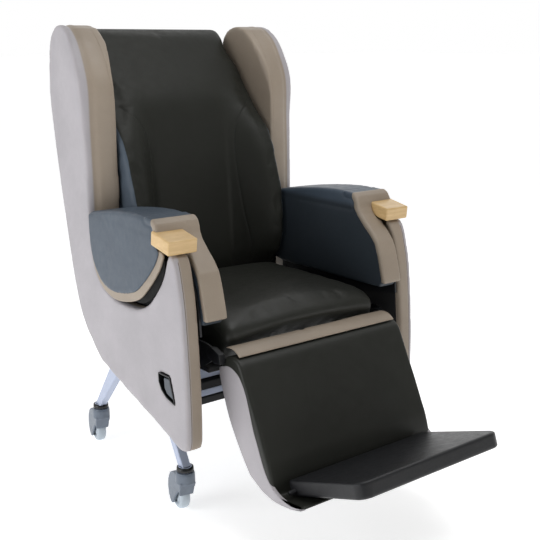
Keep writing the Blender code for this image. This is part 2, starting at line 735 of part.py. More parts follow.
# ---- arms -----------------------------------------------------------------------
FACING_OUT = [
    (-0.0440, 0.5170), (-0.0420, 0.5300), (-0.0360, 0.5540), (-0.0270, 0.5870), (-0.0150, 0.6210),
    (0.0050, 0.6440), (0.0270, 0.6630), (0.0500, 0.6850), (0.0590, 0.7000), (0.0620, 0.7150),
    (0.0680, 0.7290), (0.0800, 0.7365), (0.1200, 0.7390),
]
FACING_IN = [
    (0.1200, 0.7310), (0.1142, 0.7256), (0.0860, 0.7240), (0.0790, 0.7130), (0.0780, 0.6980),
    (0.0640, 0.6790),
    (0.0370, 0.6520), (0.0160, 0.6350), (-0.0020, 0.6150), (-0.0140, 0.5830), (-0.0230, 0.5510),
    (-0.0300, 0.5260), (-0.0310, 0.5170),
]
FLAP = [
    (0.0380, 0.6600), (0.0540, 0.6310), (0.0780, 0.6040), (0.1130, 0.5710), (0.1650, 0.5330),
    (0.2390, 0.5100), (0.3100, 0.5040), (0.3700, 0.5210), (0.4100, 0.5580), (0.4300, 0.6130),
    (0.4360, 0.6620), (0.4370, 0.6870),
]
ARM_TOP = [
    (0.1206, 0.7385), (0.1600, 0.7390), (0.2000, 0.7370), (0.2600, 0.7310), (0.3200, 0.7230),
    (0.3800, 0.7130), (0.4180, 0.7060), (ARM_REAR, 0.6990),
]
TONGUE = (0.180, 0.240)
GUIDE_LOW = 0.2960


def build_arm(side, tag):
    prism(
        "arm_core_" + tag,
        [(0.0795, 0.6600), (0.4000, 0.6600), (0.4000, ARM_CORE_TOP), (0.0795, ARM_CORE_TOP)],
        inset(ARM_CORE_FAR), inset(0.0), "board_black", side,
    )
    plate_outline = [
        (0.0450, 0.6590), (0.0200, 0.6300), (-0.0080, 0.5800), (-0.0200, 0.5400), (-0.0260, 0.4800),
        (0.1500, 0.4600), (TONGUE[0], 0.4400), (TONGUE[0], 0.3300), (TONGUE[1], 0.3300),
        (TONGUE[1], 0.4400), (0.2700, 0.4600), (0.4000, 0.4800), (0.4000, 0.6590),
    ]
    prism(
        "arm_plate_" + tag, plate_outline, inset(ARM_PLATE_FAR), inset(ARM_PLATE_NEAR), "steel_black",
        side,
    )
    guide = block(
        "arm_guide_" + tag, (inset(ARM_PLATE_FAR + 0.0032), inset(0.0076)),
        (TONGUE[0] - 0.004, TONGUE[1] + 0.004), (GUIDE_LOW, 0.4300), "steel_black", side,
    )
    slot = block(
        "slot", (inset(ARM_PLATE_FAR + 0.0008), inset(ARM_PLATE_NEAR - 0.0008)),
        (TONGUE[0] - 0.001, TONGUE[1] + 0.001), (0.3200, 0.5000), "steel_black", side,
    )
    combine(guide, slot, "DIFFERENCE")

    facing = prism(
        "arm_facing_" + tag, FACING_OUT + FACING_IN, ARM_IN, proud(ARM_PROUD - 0.002), "vinyl_taupe", side
    )
    low_cut = prism(
        "low_cut", [(-0.2, 0.40), (0.5, 0.40), (0.5, 0.6702), (-0.2, 0.6702)],
        inset(ARM_PAD_FAR), 0.5, "vinyl_taupe", side,
    )
    combine(facing, low_cut, "DIFFERENCE")
    high_only = block(
        "high_only", (GRIP_X[0] - GAP, 0.5), (-0.2, 0.5), (0.6690, GRIP_Z[1] + GRIP_CLEAR),
        "vinyl_taupe", side,
    )
    combine(facing, high_only, "DIFFERENCE")

    pad_front = [(d + 0.0007, z - 0.0003) for d, z in FACING_IN[4:]]
    pad_outline = pad_front + [
        (-0.0303, 0.5160), (0.1280, 0.5160), (0.2970, 0.5110), (0.3750, 0.5350), (0.4150, 0.5700),
        (0.4260, 0.6200), (ARM_REAR, ARM_CORE_TOP), (0.0800, ARM_CORE_TOP),
    ]
    pad = prism("arm_pad_" + tag, pad_outline, ARM_IN, inset(ARM_PAD_FAR), "vinyl_slate", side)
    pad_cut = prism(
        "pad_cut", [(-0.2, 0.6590), (0.5, 0.6590), (0.5, 0.80), (-0.2, 0.80)],
        inset(ARM_CORE_FAR + 0.0006), 0.5, "vinyl_slate", side,
    )
    combine(pad, pad_cut, "DIFFERENCE")

    flap_outline = curve(FLAP, 2) + [(0.0795, 0.6870), (0.0795, 0.6690), (0.0420, 0.6690)]
    prism("arm_flap_" + tag, flap_outline, inset(-0.0008), proud(ARM_PROUD), "vinyl_slate", side)
    top_outline = [
        (0.0800, 0.6886), (0.0800, 0.7120), (0.0860, 0.7230), (0.1150, 0.7246), (0.1206, 0.7300),
    ]
    top_outline += curve(ARM_TOP, 1) + [(ARM_REAR, 0.6886)]
    top = prism("arm_top_" + tag, top_outline, 0.2476, proud(ARM_PROUD - 0.001), "vinyl_slate", side)
    soften(top, 0.008, 1, 60)
    grip = block("arm_grip_" + tag, GRIP_X, (0.0, GRIP_END), GRIP_Z, "beech", side)
    soften(grip, 0.006, 2)


build_arm(-1, "R")
build_arm(1, "L")

# ---- release lever --------------------------------------------------------------
LEVER_AXIS_D = 0.0610
lever_cup = prism("lever_cup", CUP, SHELL_OUT - 0.0255, SHELL_OUT + 0.0005, "plastic_black", -1)
hollow = prism(
    "hollow", scaled(CUP, -0.0030), SHELL_OUT - 0.0200, SHELL_OUT + 0.0200, "plastic_black", -1
)
combine(lever_cup, hollow, "DIFFERENCE")
paddle = prism("release_lever", PADDLE, SHELL_OUT - 0.0070, SHELL_OUT - 0.0025, "plastic_grey", -1)
soften(paddle, 0.001, 1)
set_origin(paddle, LEVER_AXIS_D, 0.3500, -(SHELL_OUT - 0.0050))
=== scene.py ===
"""Patient recliner chair: finished surfaces, soft goods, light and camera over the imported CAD.

Frame: metres, +Z up, the sitter faces -Y, the sitter's right side (tag R) is -X.
Side outlines are (d, z) pairs: d is the depth behind the front of the wooden grips.
"""
import json
import math

import bmesh
import bpy
import numpy as np
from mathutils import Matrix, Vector
from mathutils.bvhtree import BVHTree
from mathutils.kdtree import KDTree


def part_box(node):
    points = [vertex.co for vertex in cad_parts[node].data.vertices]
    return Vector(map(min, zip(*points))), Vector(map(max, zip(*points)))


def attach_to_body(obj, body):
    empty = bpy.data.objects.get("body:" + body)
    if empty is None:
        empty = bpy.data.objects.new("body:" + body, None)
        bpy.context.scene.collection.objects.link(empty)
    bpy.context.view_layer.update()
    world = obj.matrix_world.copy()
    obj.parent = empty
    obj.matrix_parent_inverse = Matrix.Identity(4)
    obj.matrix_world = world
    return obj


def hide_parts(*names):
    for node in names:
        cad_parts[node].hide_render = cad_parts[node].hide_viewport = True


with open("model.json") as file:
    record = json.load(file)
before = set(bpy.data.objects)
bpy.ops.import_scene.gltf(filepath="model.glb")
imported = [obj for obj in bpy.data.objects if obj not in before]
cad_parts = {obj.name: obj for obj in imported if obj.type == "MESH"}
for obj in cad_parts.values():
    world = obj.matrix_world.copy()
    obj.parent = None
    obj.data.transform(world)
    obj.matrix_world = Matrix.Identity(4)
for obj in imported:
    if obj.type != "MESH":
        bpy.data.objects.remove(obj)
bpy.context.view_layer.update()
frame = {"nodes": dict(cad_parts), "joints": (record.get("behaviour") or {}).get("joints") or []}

# ---- frame ----------------------------------------------------------------------
SHIFT = -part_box("arm_grip_R")[0].y
SHELL_OUT = 0.357
SHELL_TOE = 0.0595
SHELL_THICK = 0.038
WING_IN = 0.249
SHELL_BAND = 0.0125
CUSHION_HALF = 0.2425
SIDES = (("R", -1), ("L", 1))
WELT = 0.0011
SEAM_STEP = 0.002
SMOOTH_FACTOR = 0.5
CLOTH_PRESSURE = 4.0
CLOTH_STIFFNESS = 12.0
CLOTH_FRAMES = 20
PAD_VOXEL = 0.006
BACK_SWELL = 0.008
SEAT_SWELL = 0.007


def shell_outer(d):
    return SHELL_OUT - SHELL_TOE * d


def shell_inner(d):
    return shell_outer(d) - SHELL_THICK


# ---- curves ---------------------------------------------------------------------
def chain(points, steps=8):
    """Catmull-Rom points through an open chain, any number of coordinates."""
    rows = [np.array(p, float) for p in points]
    rows = [2 * rows[0] - rows[1]] + rows + [2 * rows[-1] - rows[-2]]
    out = []
    for a, b, c, d in zip(rows, rows[1:], rows[2:], rows[3:]):
        for s in range(steps):
            t = s / steps
            second, third = 2 * a - 5 * b + 4 * c - d, 3 * b - a - 3 * c + d
            out.append(0.5 * (2 * b + (c - a) * t + second * t * t + third * t * t * t))
    out.append(rows[-2])
    return np.array(out)


def even(points, count, closed=False):
    """The chain again with count points at even spacing."""
    rows = np.array(points, float)
    if closed:
        rows = np.vstack([rows, rows[:1]])
    along = np.concatenate([[0.0], np.cumsum(np.linalg.norm(np.diff(rows, axis=0), axis=1))])
    where = np.linspace(0.0, along[-1], count + 1 if closed else count)
    out = np.stack([np.interp(where, along, rows[:, k]) for k in range(rows.shape[1])], axis=1)
    return out[:-1] if closed else out


def densify(points, longest=0.008):
    """The closed outline again with no edge longer than longest."""
    rows = np.array(points, float)
    out = []
    for a, b in zip(rows, np.roll(rows, -1, axis=0)):
        parts = max(1, int(math.ceil(np.linalg.norm(b - a) / longest)))
        out += [a + (b - a) * k / parts for k in range(parts)]
    return np.array(out)


def round_corners(points, passes=2):
    """Chaikin corner cutting of a closed outline, limited to a few millimetres at each corner."""
    rows = densify(points)
    for _ in range(passes):
        ahead = np.roll(rows, -1, axis=0)
        rows = np.stack([0.75 * rows + 0.25 * ahead, 0.25 * rows + 0.75 * ahead], axis=1)
        rows = rows.reshape(-1, rows.shape[2])
    return rows


def smooth_step(low, high, value):
    t = np.clip((value - low) / (high - low), 0.0, 1.0)
    return t * t * (3 - 2 * t)


# ---- mesh tools -----------------------------------------------------------------
def make(name, verts, faces, material=None):
    mesh = bpy.data.meshes.new(name)
    mesh.from_pydata([tuple(map(float, v)) for v in verts], [], [tuple(f) for f in faces])
    work = bmesh.new()
    work.from_mesh(mesh)
    bmesh.ops.recalc_face_normals(work, faces=work.faces)
    if work.calc_volume(signed=True) < 0:
        bmesh.ops.reverse_faces(work, faces=work.faces)
    work.to_mesh(mesh)
    work.free()
    made = bpy.data.objects.new(name, mesh)
    bpy.context.scene.collection.objects.link(made)
    if material is not None:
        mesh.materials.append(material)
    mesh.shade_smooth()
    return made


def bake(obj):
    """Makes the evaluated shape the object's own mesh."""
    graph = bpy.context.evaluated_depsgraph_get()
    baked = bpy.data.meshes.new_from_object(obj.evaluated_get(graph))
    obj.modifiers.clear()
    obj.data = baked
    baked.shade_smooth()
    return obj


def points_of(obj):
    flat = np.empty(len(obj.data.vertices) * 3)
    obj.data.vertices.foreach_get("co", flat)
    return flat.reshape(-1, 3)


def normals_of(obj):
    flat = np.empty(len(obj.data.vertices) * 3)
    obj.data.vertices.foreach_get("normal", flat)
    return flat.reshape(-1, 3)


def set_points(obj, points):
    obj.data.vertices.foreach_set("co", np.ascontiguousarray(points, float).ravel())
    obj.data.update()
    return obj


def joined_copy(name, sources, material):
    """One new object holding copies of the meshes of CAD nodes and helper objects."""
    work = bmesh.new()
    for source in sources:
        if isinstance(source, str):
            mesh = frame["nodes"][source].data
        else:
            mesh = source.data
            bpy.data.objects.remove(source, do_unlink=True)
        work.from_mesh(mesh)
    mesh = bpy.data.meshes.new(name)
    work.to_mesh(mesh)
    work.free()
    mesh.materials.clear()
    mesh.materials.append(material)
    made = bpy.data.objects.new(name, mesh)
    bpy.context.scene.collection.objects.link(made)
    return made


def attach(piece, body, slot, *nodes):
    """The piece rides a body and stands for CAD nodes, which it hides; the slot is not used."""
    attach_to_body(piece, body)
    if nodes:
        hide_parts(*nodes)


def largest_part(obj):
    """Drops every loose part but the biggest, such as bubbles left by a remesh."""
    work = bmesh.new()
    work.from_mesh(obj.data)
    seen, parts = set(), []
    for start in work.verts:
        if start in seen:
            continue
        stack, part = [start], []
        seen.add(start)
        while stack:
            vert = stack.pop()
            part.append(vert)
            for edge in vert.link_edges:
                other = edge.other_vert(vert)
                if other not in seen:
                    seen.add(other)
                    stack.append(other)
        parts.append(part)
    parts.sort(key=len)
    for part in parts[:-1]:
        bmesh.ops.delete(work, geom=part, context="VERTS")
    work.to_mesh(obj.data)
    work.free()
    return obj


def remesh(obj, voxel, smooth):
    """Even skin over a closed mesh, eased smooth times."""
    step = obj.modifiers.new("voxels", "REMESH")
    step.mode = "VOXEL"
    step.voxel_size = voxel
    soften = obj.modifiers.new("ease", "SMOOTH")
    soften.factor = SMOOTH_FACTOR
    soften.iterations = smooth
    bake(obj)
    return largest_part(obj)


def ease(obj, iterations):
    step = obj.modifiers.new("ease", "SMOOTH")
    step.factor = SMOOTH_FACTOR
    step.iterations = iterations
    return bake(obj)


def subdivide(obj):
    step = obj.modifiers.new("fine", "SUBSURF")
    step.levels = step.render_levels = 1
    return bake(obj)


def inflate(obj, cap, weight):
    """Fills a closed skin with a short cloth run under pressure, each point moving cap at most.

    weight gives each point's share of the move, 0 where the pad rests on something hard.
    """
    start = points_of(obj)
    cloth = obj.modifiers.new("cloth", "CLOTH")
    cloth.settings.quality = 4
    cloth.settings.mass = 0.3
    cloth.settings.tension_stiffness = CLOTH_STIFFNESS
    cloth.settings.compression_stiffness = CLOTH_STIFFNESS
    cloth.settings.shear_stiffness = CLOTH_STIFFNESS * 0.5
    cloth.settings.bending_stiffness = 0.8
    cloth.settings.use_pressure = True
    cloth.settings.uniform_pressure_force = CLOTH_PRESSURE
    cloth.settings.effector_weights.gravity = 0.0
    cloth.collision_settings.use_collision = False
    cloth.point_cache.frame_start = 1
    cloth.point_cache.frame_end = CLOTH_FRAMES
    scene = bpy.context.scene
    for number in range(1, CLOTH_FRAMES + 1):
        scene.frame_set(number)
    bake(obj)
    scene.frame_set(1)
    moved = points_of(obj) - start
    reach = np.linalg.norm(moved, axis=1, keepdims=True)
    shorter = cap * np.tanh(reach / cap) / np.maximum(reach, 1e-9)
    return set_points(obj, start + moved * (shorter * weight(start)[:, None]))


def limit(obj, axis, low=None, high=None, soft=0.004):
    """Presses a soft shape flat against a neighbour at a plane, easing in over soft."""
    points = points_of(obj)
    values = points[:, axis]
    if high is not None:
        over = values - (high - soft)
        values = np.where(over > 0, high - soft + soft * np.tanh(over / soft), values)
    if low is not None:
        over = (low + soft) - values
        values = np.where(over > 0, low + soft - soft * np.tanh(over / soft), values)
    points[:, axis] = values
    return set_points(obj, points)


def tree_of(obj):
    graph = bpy.context.evaluated_depsgraph_get()
    return BVHTree.FromObject(obj, graph)


def seam_points(line):
    """Points SEAM_STEP apart along a 3-D line."""
    rows = np.array(line, float)
    length = np.linalg.norm(np.diff(rows, axis=0), axis=1).sum()
    return even(rows, max(3, int(length / SEAM_STEP)))


def on_surface(obj, line):
    """Each point of a line moved to the nearest surface point."""
    tree = tree_of(obj)
    found = []
    for row in seam_points(line):
        place, normal, _, _ = tree.find_nearest(Vector(row))
        found.append((place, normal))
    return found


def cast_lines(obj, line, direction):
    """Points of a line thrown onto the surface along a direction, from the line's own place."""
    tree = tree_of(obj)
    found = []
    for row in seam_points(line):
        place, normal, _, _ = tree.ray_cast(Vector(row), Vector(direction), 3.0)
        if place is not None:
            found.append((place, normal))
    return found


def groove(obj, found, depth, width):
    """Sinks the surface along a seam."""
    tree = KDTree(len(found))
    for i, (place, _) in enumerate(found):
        tree.insert(place, i)
    tree.balance()
    far = 3.5 * width
    line = np.array([place for place, _ in found])
    points, normals = points_of(obj), normals_of(obj)
    near = np.all((points > line.min(0) - far) & (points < line.max(0) + far), axis=1)
    for i in np.flatnonzero(near):
        distance = tree.find(points[i])[2]
        if distance > far:
            continue
        points[i] = points[i] - normals[i] * (depth * math.exp(-((distance / width) ** 2)))
    return set_points(obj, points)


def tube(name, rows, radius, material, sides=8):
    """Round tube along 3-D points."""
    rows = [Vector(r) for r in rows]
    count = len(rows)
    verts, faces = [], []
    last = None
    for i, row in enumerate(rows):
        ahead, behind = rows[min(i + 1, count - 1)], rows[max(i - 1, 0)]
        along = (ahead - behind).normalized()
        if last is None:
            last = along.orthogonal().normalized()
        last = (last - along * last.dot(along)).normalized()
        other = along.cross(last)
        for k in range(sides):
            turn = 2 * math.pi * k / sides
            verts.append(row + radius * (math.cos(turn) * last + math.sin(turn) * other))
    for i in range(count - 1):
        j = i + 1
        for k in range(sides):
            m = (k + 1) % sides
            faces.append((i * sides + k, i * sides + m, j * sides + m, j * sides + k))
    faces.append(tuple(range(sides))[::-1])
    faces.append(tuple(range((count - 1) * sides, count * sides)))
    return make(name, verts, faces, material)


def welt(name, found, material, body, radius=WELT, sink=0.35, spacing=2):
    """Sewn edge cord that lies half sunk in the surface."""
    rows = [place - normal * radius * sink for place, normal in found[::spacing]]
    piece = tube(name, rows, radius, material, sides=6)
    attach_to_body(piece, body)
    return piece


def pillow(name, outline, x_low, x_high, radius, material, count=160, steps=6, spans=10, place=None):
    """Padded slab: a closed outline swept between two side limits, its rims rounded off.

    The limits are numbers, or functions of d. place maps (x, d, z) to the frame.
    """
    ring = even(round_corners(outline, 2), count, closed=True)
    ahead, behind = np.roll(ring, -1, axis=0), np.roll(ring, 1, axis=0)
    along = ahead - behind
    along /= np.maximum(np.linalg.norm(along, axis=1, keepdims=True), 1e-9)
    inward = np.stack([-along[:, 1], along[:, 0]], axis=1)
    area = 0.5 * np.sum(ring[:, 0] * ahead[:, 1] - ahead[:, 0] * ring[:, 1])
    if area < 0:
        inward = -inward
    # rim: (inward offset, distance from the end) from the cap's edge to the full outline
    turns = [0.5 * math.pi * i / steps for i in range(steps + 1)]
    rim = [(abs(radius) * (1 - math.sin(t)), radius * (1 - math.cos(t))) for t in turns]
    rings = [(off, gap, 0) for off, gap in rim]
    rings += [(0.0, i / spans, 1) for i in range(1, spans)]
    rings += [(off, gap, 2) for off, gap in rim[::-1]]
    verts = []
    for off, value, kind in rings:
        rows = ring + inward * off
        for d, z in rows:
            low = x_low(d) if callable(x_low) else x_low
            high = x_high(d) if callable(x_high) else x_high
            if kind == 0:
                x = low + value
            elif kind == 2:
                x = high - value
            else:
                x = low + radius + (high - low - 2 * radius) * value
            verts.append(place(x, d, z) if place else (x, d - SHIFT, z))
    faces = [tuple(range(count)), tuple(range((len(rings) - 1) * count, len(rings) * count))[::-1]]
    for row in range(len(rings) - 1):
        for i in range(count):
            j = (i + 1) % count
            base = row * count
            faces.append((base + i, base + j, base + count + j, base + count + i))
    return make(name, verts, faces, material)


def lathe(name, profile, origin, axis, material, sides):
    """Ring-shaped solid: a closed profile of (radius, distance along the axis) turned round."""
    axis = Vector(axis).normalized()
    first = axis.orthogonal().normalized()
    other = axis.cross(first)
    origin = Vector(origin)
    count = len(profile)
    verts, faces = [], []
    for i in range(sides):
        turn = 2 * math.pi * i / sides
        out = math.cos(turn) * first + math.sin(turn) * other
        for r, w in profile:
            verts.append(origin + axis * w + out * r)
    for i in range(sides):
        j = (i + 1) % sides
        for k in range(count):
            m = (k + 1) % count
            faces.append((i * count + k, i * count + m, j * count + m, j * count + k))
    return make(name, verts, faces, material)


def rounded_box(name, low, high, radius, material):
    corners = [
        (x, y, z) for x in (low[0], high[0]) for y in (low[1], high[1]) for z in (low[2], high[2])
    ]
    faces = [(0, 1, 3, 2), (4, 6, 7, 5), (0, 4, 5, 1), (2, 3, 7, 6), (0, 2, 6, 4), (1, 5, 7, 3)]
    box = make(name, corners, faces, material)
    bevel = box.modifiers.new("edges", "BEVEL")
    bevel.width = radius
    bevel.segments = 5
    bevel.harden_normals = True
    return bake(box)


# ---- materials ------------------------------------------------------------------
class Nodes:
    """Short form for building a node tree."""

    def __init__(self, name):
        self.material = bpy.data.materials.new(name)
        self.material.use_nodes = True
        self.tree = self.material.node_tree
        self.shader = self.tree.nodes["Principled BSDF"]
        self.place = self.add("ShaderNodeTexCoord").outputs["Object"]

    def add(self, kind, **values):
        node = self.tree.nodes.new(kind)
        for key, value in values.items():
            setattr(node, key, value)
        return node

    def feed(self, socket, value):
        if hasattr(value, "is_output"):
            self.tree.links.new(value, socket)
        else:
            socket.default_value = value

    def math(self, operation, a, b=0.0):
        node = self.add("ShaderNodeMath", operation=operation)
        self.feed(node.inputs[0], a)
        self.feed(node.inputs[1], b)
        return node.outputs[0]

    def noise(self, scale, detail=3.0, rough=0.55, stretch=None):
        node = self.add("ShaderNodeTexNoise")
        node.inputs["Scale"].default_value = scale
        node.inputs["Detail"].default_value = detail
        node.inputs["Roughness"].default_value = rough
        self.tree.links.new(self.stretched(stretch), node.inputs["Vector"])
        return node.outputs["Fac"]

    def cells(self, scale, stretch=None):
        node = self.add("ShaderNodeTexVoronoi")
        node.inputs["Scale"].default_value = scale
        self.tree.links.new(self.stretched(stretch), node.inputs["Vector"])
        return node.outputs["Distance"]

    def stretched(self, stretch):
        if stretch is None:
            return self.place
        node = self.add("ShaderNodeMapping")
        node.inputs["Scale"].default_value = stretch
        self.tree.links.new(self.place, node.inputs["Vector"])
        return node.outputs["Vector"]

    def spread(self, value, low, high, to_low=0.0, to_high=1.0):
        node = self.add("ShaderNodeMapRange")
        self.tree.links.new(value, node.inputs["Value"])
        for key, number in zip(("From Min", "From Max", "To Min", "To Max"), (low, high, to_low, to_high)):
            node.inputs[key].default_value = number
        return node.outputs["Result"]

    def blend(self, factor, a, b):
        node = self.add("ShaderNodeMix", data_type="RGBA")
        self.feed(node.inputs[0], factor)
        for socket, value in ((node.inputs[6], a), (node.inputs[7], b)):
            self.feed(socket, value if hasattr(value, "is_output") else (*value, 1.0))
        return node.outputs[2]

    def bump(self, height, strength, distance, under=None):
        node = self.add("ShaderNodeBump")
        node.inputs["Strength"].default_value = strength
        node.inputs["Distance"].default_value = distance
        self.tree.links.new(height, node.inputs["Height"])
        if under is not None:
            self.tree.links.new(under, node.inputs["Normal"])
        return node.outputs["Normal"]

    def xyz(self):
        node = self.add("ShaderNodeSeparateXYZ")
        self.tree.links.new(self.place, node.inputs[0])
        return node.outputs

    def set(self, **values):
        for key, value in values.items():
            self.feed(self.shader.inputs[key.replace("_", " ")], value)
        return self


def srgb(r, g, b):
    return tuple(((c / 255 + 0.055) / 1.055) ** 2.4 if c > 10 else c / 255 / 12.92 for c in (r, g, b))


def shade(colour, factor):
    return tuple(min(1.0, c * factor) for c in colour)


def vinyl(name, colour, rough=0.42, grain=0.10, crease=0.12, other=None, mask=None, specular=0.5):
    """Coated upholstery fabric: fine pebble grain, soft creases, faint mottling and rubbed edges."""
    n = Nodes(name)
    mottle = n.spread(n.noise(7.0, 4.0), 0.35, 0.65)
    base = n.blend(mottle, shade(colour, 0.94), shade(colour, 1.06))
    if other is not None:
        second = n.blend(mottle, shade(other, 0.94), shade(other, 1.06))
        base = n.blend(mask(n), base, second)
    pebble = n.cells(1150.0)
    speck = n.spread(pebble, 0.1, 0.9, 0.93, 1.05)
    fine = n.add("ShaderNodeMix", data_type="RGBA", blend_type="MULTIPLY")
    n.feed(fine.inputs[0], 1.0)
    n.feed(fine.inputs[6], base)
    grey = n.add("ShaderNodeCombineColor")
    for socket in grey.inputs[:3]:
        n.feed(socket, speck)
    n.feed(fine.inputs[7], grey.outputs[0])
    edge = n.spread(n.add("ShaderNodeNewGeometry").outputs["Pointiness"], 0.52, 0.60, 0.0, 0.28)
    worn = n.blend(edge, fine.outputs[2], shade(colour, 1.35))
    soft = n.bump(n.noise(38.0, 5.0, 0.6), crease, 0.0022)
    rise = n.bump(pebble, grain, 0.0004, soft)
    roughness = n.spread(n.noise(55.0, 4.0), 0.3, 0.7, rough - 0.05, rough + 0.07)
    n.set(Base_Color=worn, Roughness=roughness, Normal=rise, Specular_IOR_Level=specular)
    return n.material


def key_lit_band_mask(reach):
    """1 on the outermost band of the side panels, where the key light is painted in as grey, 0 on the rest.
    """

    def build(n):
        x, y, _ = n.xyz()
        outer = n.math("SUBTRACT", SHELL_OUT - SHELL_TOE * SHIFT - reach, n.math("MULTIPLY", y, SHELL_TOE))
        away = n.math("SUBTRACT", n.math("ABSOLUTE", x), outer)
        return n.spread(away, -0.0035, 0.0015)

    return build


def side_mask(limit_x, inside=False):
    """1 beyond a distance from the middle plane (or within it)."""

    def build(n):
        x = n.math("ABSOLUTE", n.xyz()[0])
        away = n.math("SUBTRACT", x, limit_x)
        return n.spread(away, 0.0006, -0.0006) if inside else n.spread(away, -0.0006, 0.0006)

    return build


def behind_mask(limit_d):
    """1 behind a depth, 0 in front of it."""

    def build(n):
        away = n.math("SUBTRACT", n.xyz()[1], limit_d - SHIFT)
        return n.spread(away, -0.0005, 0.0005)

    return build


def inner_arm_shade(n):
    """1 on the arm cover's inner face, where shade is painted in as a darker slate, 0 on its top and
    outside.
    """
    inside = side_mask(0.300, True)(n)
    below = n.spread(n.xyz()[2], 0.712, 0.700)
    return n.math("MULTIPLY", inside, below)


# KEY_LIT_GREY is the taupe vinyl as the cool key light shows it: painted light for outer faces.
KEY_LIT_GREY = srgb(169, 165, 169)
TAUPE = srgb(151, 138, 123)
CHARCOAL = srgb(40, 41, 37)
SLATE = srgb(68, 79, 91)
# SHADED_SLATE is painted shade: the slate vinyl as it looks in the shadow inside the chair.
SHADED_SLATE = srgb(50, 57, 64)
BLACK_VINYL = srgb(22, 23, 26)
BACK_SIDE = srgb(80, 90, 101)
BACK_SIDE_X = 0.2352

# Side panels: taupe, with painted key light as a lighter grey band on the outer face.
M_SHELL = vinyl("vinyl_shell", TAUPE, 0.46, other=KEY_LIT_GREY, mask=key_lit_band_mask(SHELL_BAND))
M_TAUPE = vinyl("vinyl_taupe", TAUPE, 0.46)
# Leg rest side panels: painted key light, grey all over.
M_KEY_LIT_GREY = vinyl("vinyl_side", KEY_LIT_GREY, 0.46)
M_FACING = vinyl("vinyl_facing", TAUPE, 0.46, other=SLATE, mask=behind_mask(0.090))
M_CHARCOAL = vinyl("vinyl_charcoal", CHARCOAL, 0.42, 0.10, 0.16, specular=0.32)
M_BACK = vinyl(
    "vinyl_back", CHARCOAL, 0.48, 0.10, 0.16, specular=0.2, other=BACK_SIDE, mask=side_mask(BACK_SIDE_X)
)
# Arm covers: slate, with painted shade as darker slate on the inner face.
M_SLATE = vinyl("vinyl_slate", SLATE, 0.42, 0.10, 0.14, specular=0.4, other=SHADED_SLATE, mask=inner_arm_shade)
M_BOARD = vinyl("vinyl_black", BLACK_VINYL, 0.38, 0.60, 0.05, specular=0.4)
# Painted shadow: a near-black, low-sheen sheet for the shade under each arm flap, also used for the black
# corner gussets.
M_SHADOW_BLACK = vinyl("vinyl_shadow_black", srgb(16, 16, 16), 0.7, 0.1, 0.1, specular=0.15)
M_REAR = vinyl("vinyl_rear", srgb(40, 41, 42), 0.45)


def thread_material(name, colour):
    n = Nodes(name)
    tone = n.blend(n.noise(400.0, 2.0), shade(colour, 0.8), shade(colour, 1.2))
    n.set(Base_Color=tone, Roughness=0.6, Normal=n.bump(n.noise(900.0, 2.0), 0.3, 0.0003))
    return n.material


M_SEAM_DARK = thread_material("seam_dark", srgb(16, 17, 16))
M_SEAM_TAUPE = thread_material("seam_taupe", srgb(124, 112, 100))
M_WELT_TAUPE = thread_material("welt_taupe", srgb(150, 136, 121))


def wood_material():
    n = Nodes("beech")
    figure = n.spread(n.noise(150.0, 4.0, stretch=(0.10, 0.25, 1.0)), 0.3, 0.7)
    base = n.blend(figure, srgb(216, 184, 132), srgb(200, 166, 112))
    fleck = n.spread(n.cells(420.0, (0.10, 0.5, 1.0)), 0.05, 0.25, 0.40, 0.0)
    base = n.blend(fleck, base, srgb(180, 142, 90))
    pores = n.noise(420.0, 2.0, stretch=(0.06, 0.2, 1.0))
    rise = n.bump(pores, 0.12, 0.0005)
    n.set(Base_Color=base, Roughness=n.spread(pores, 0.3, 0.7, 0.30, 0.40), Normal=rise)
    n.set(Coat_Weight=0.25, Coat_Roughness=0.22)
    return n.material


def metal_material(name, colour, rough, metallic, scratch=0.12):
    n = Nodes(name)
    streak = n.noise(60.0, 4.0, stretch=(1.0, 30.0, 30.0))
    base = n.blend(n.spread(streak, 0.3, 0.7), shade(colour, 0.9), shade(colour, 1.08))
    edge = n.spread(n.add("ShaderNodeNewGeometry").outputs["Pointiness"], 0.53, 0.62, 0.0, 0.5)
    base = n.blend(edge, base, shade(colour, 1.5))
    rise = n.bump(n.noise(500.0, 3.0), scratch, 0.0003)
    n.set(Base_Color=base, Metallic=metallic, Normal=rise)
    n.set(Roughness=n.spread(streak, 0.3, 0.7, rough - 0.06, rough + 0.08))
    return n.material


def plastic_material(name, colour, rough, grain=0.2):
    n = Nodes(name)
    base = n.blend(n.spread(n.noise(30.0, 4.0), 0.3, 0.7), shade(colour, 0.92), shade(colour, 1.08))
    edge = n.spread(n.add("ShaderNodeNewGeometry").outputs["Pointiness"], 0.53, 0.62, 0.0, 0.35)
    base = n.blend(edge, base, shade(colour, 1.4))
    n.set(Base_Color=base, Roughness=n.spread(n.noise(80.0, 3.0), 0.3, 0.7, rough - 0.04, rough + 0.06))
    n.set(Normal=n.bump(n.cells(1500.0), grain, 0.0003))
    return n.material


def board_material():
    n = Nodes("board_black")
    fibre = n.noise(120.0, 5.0, stretch=(1.0, 6.0, 1.0))
    base = n.blend(fibre, srgb(16, 16, 17), srgb(28, 28, 30))
    n.set(Base_Color=base, Roughness=0.7, Normal=n.bump(fibre, 0.25, 0.0006))
    return n.material


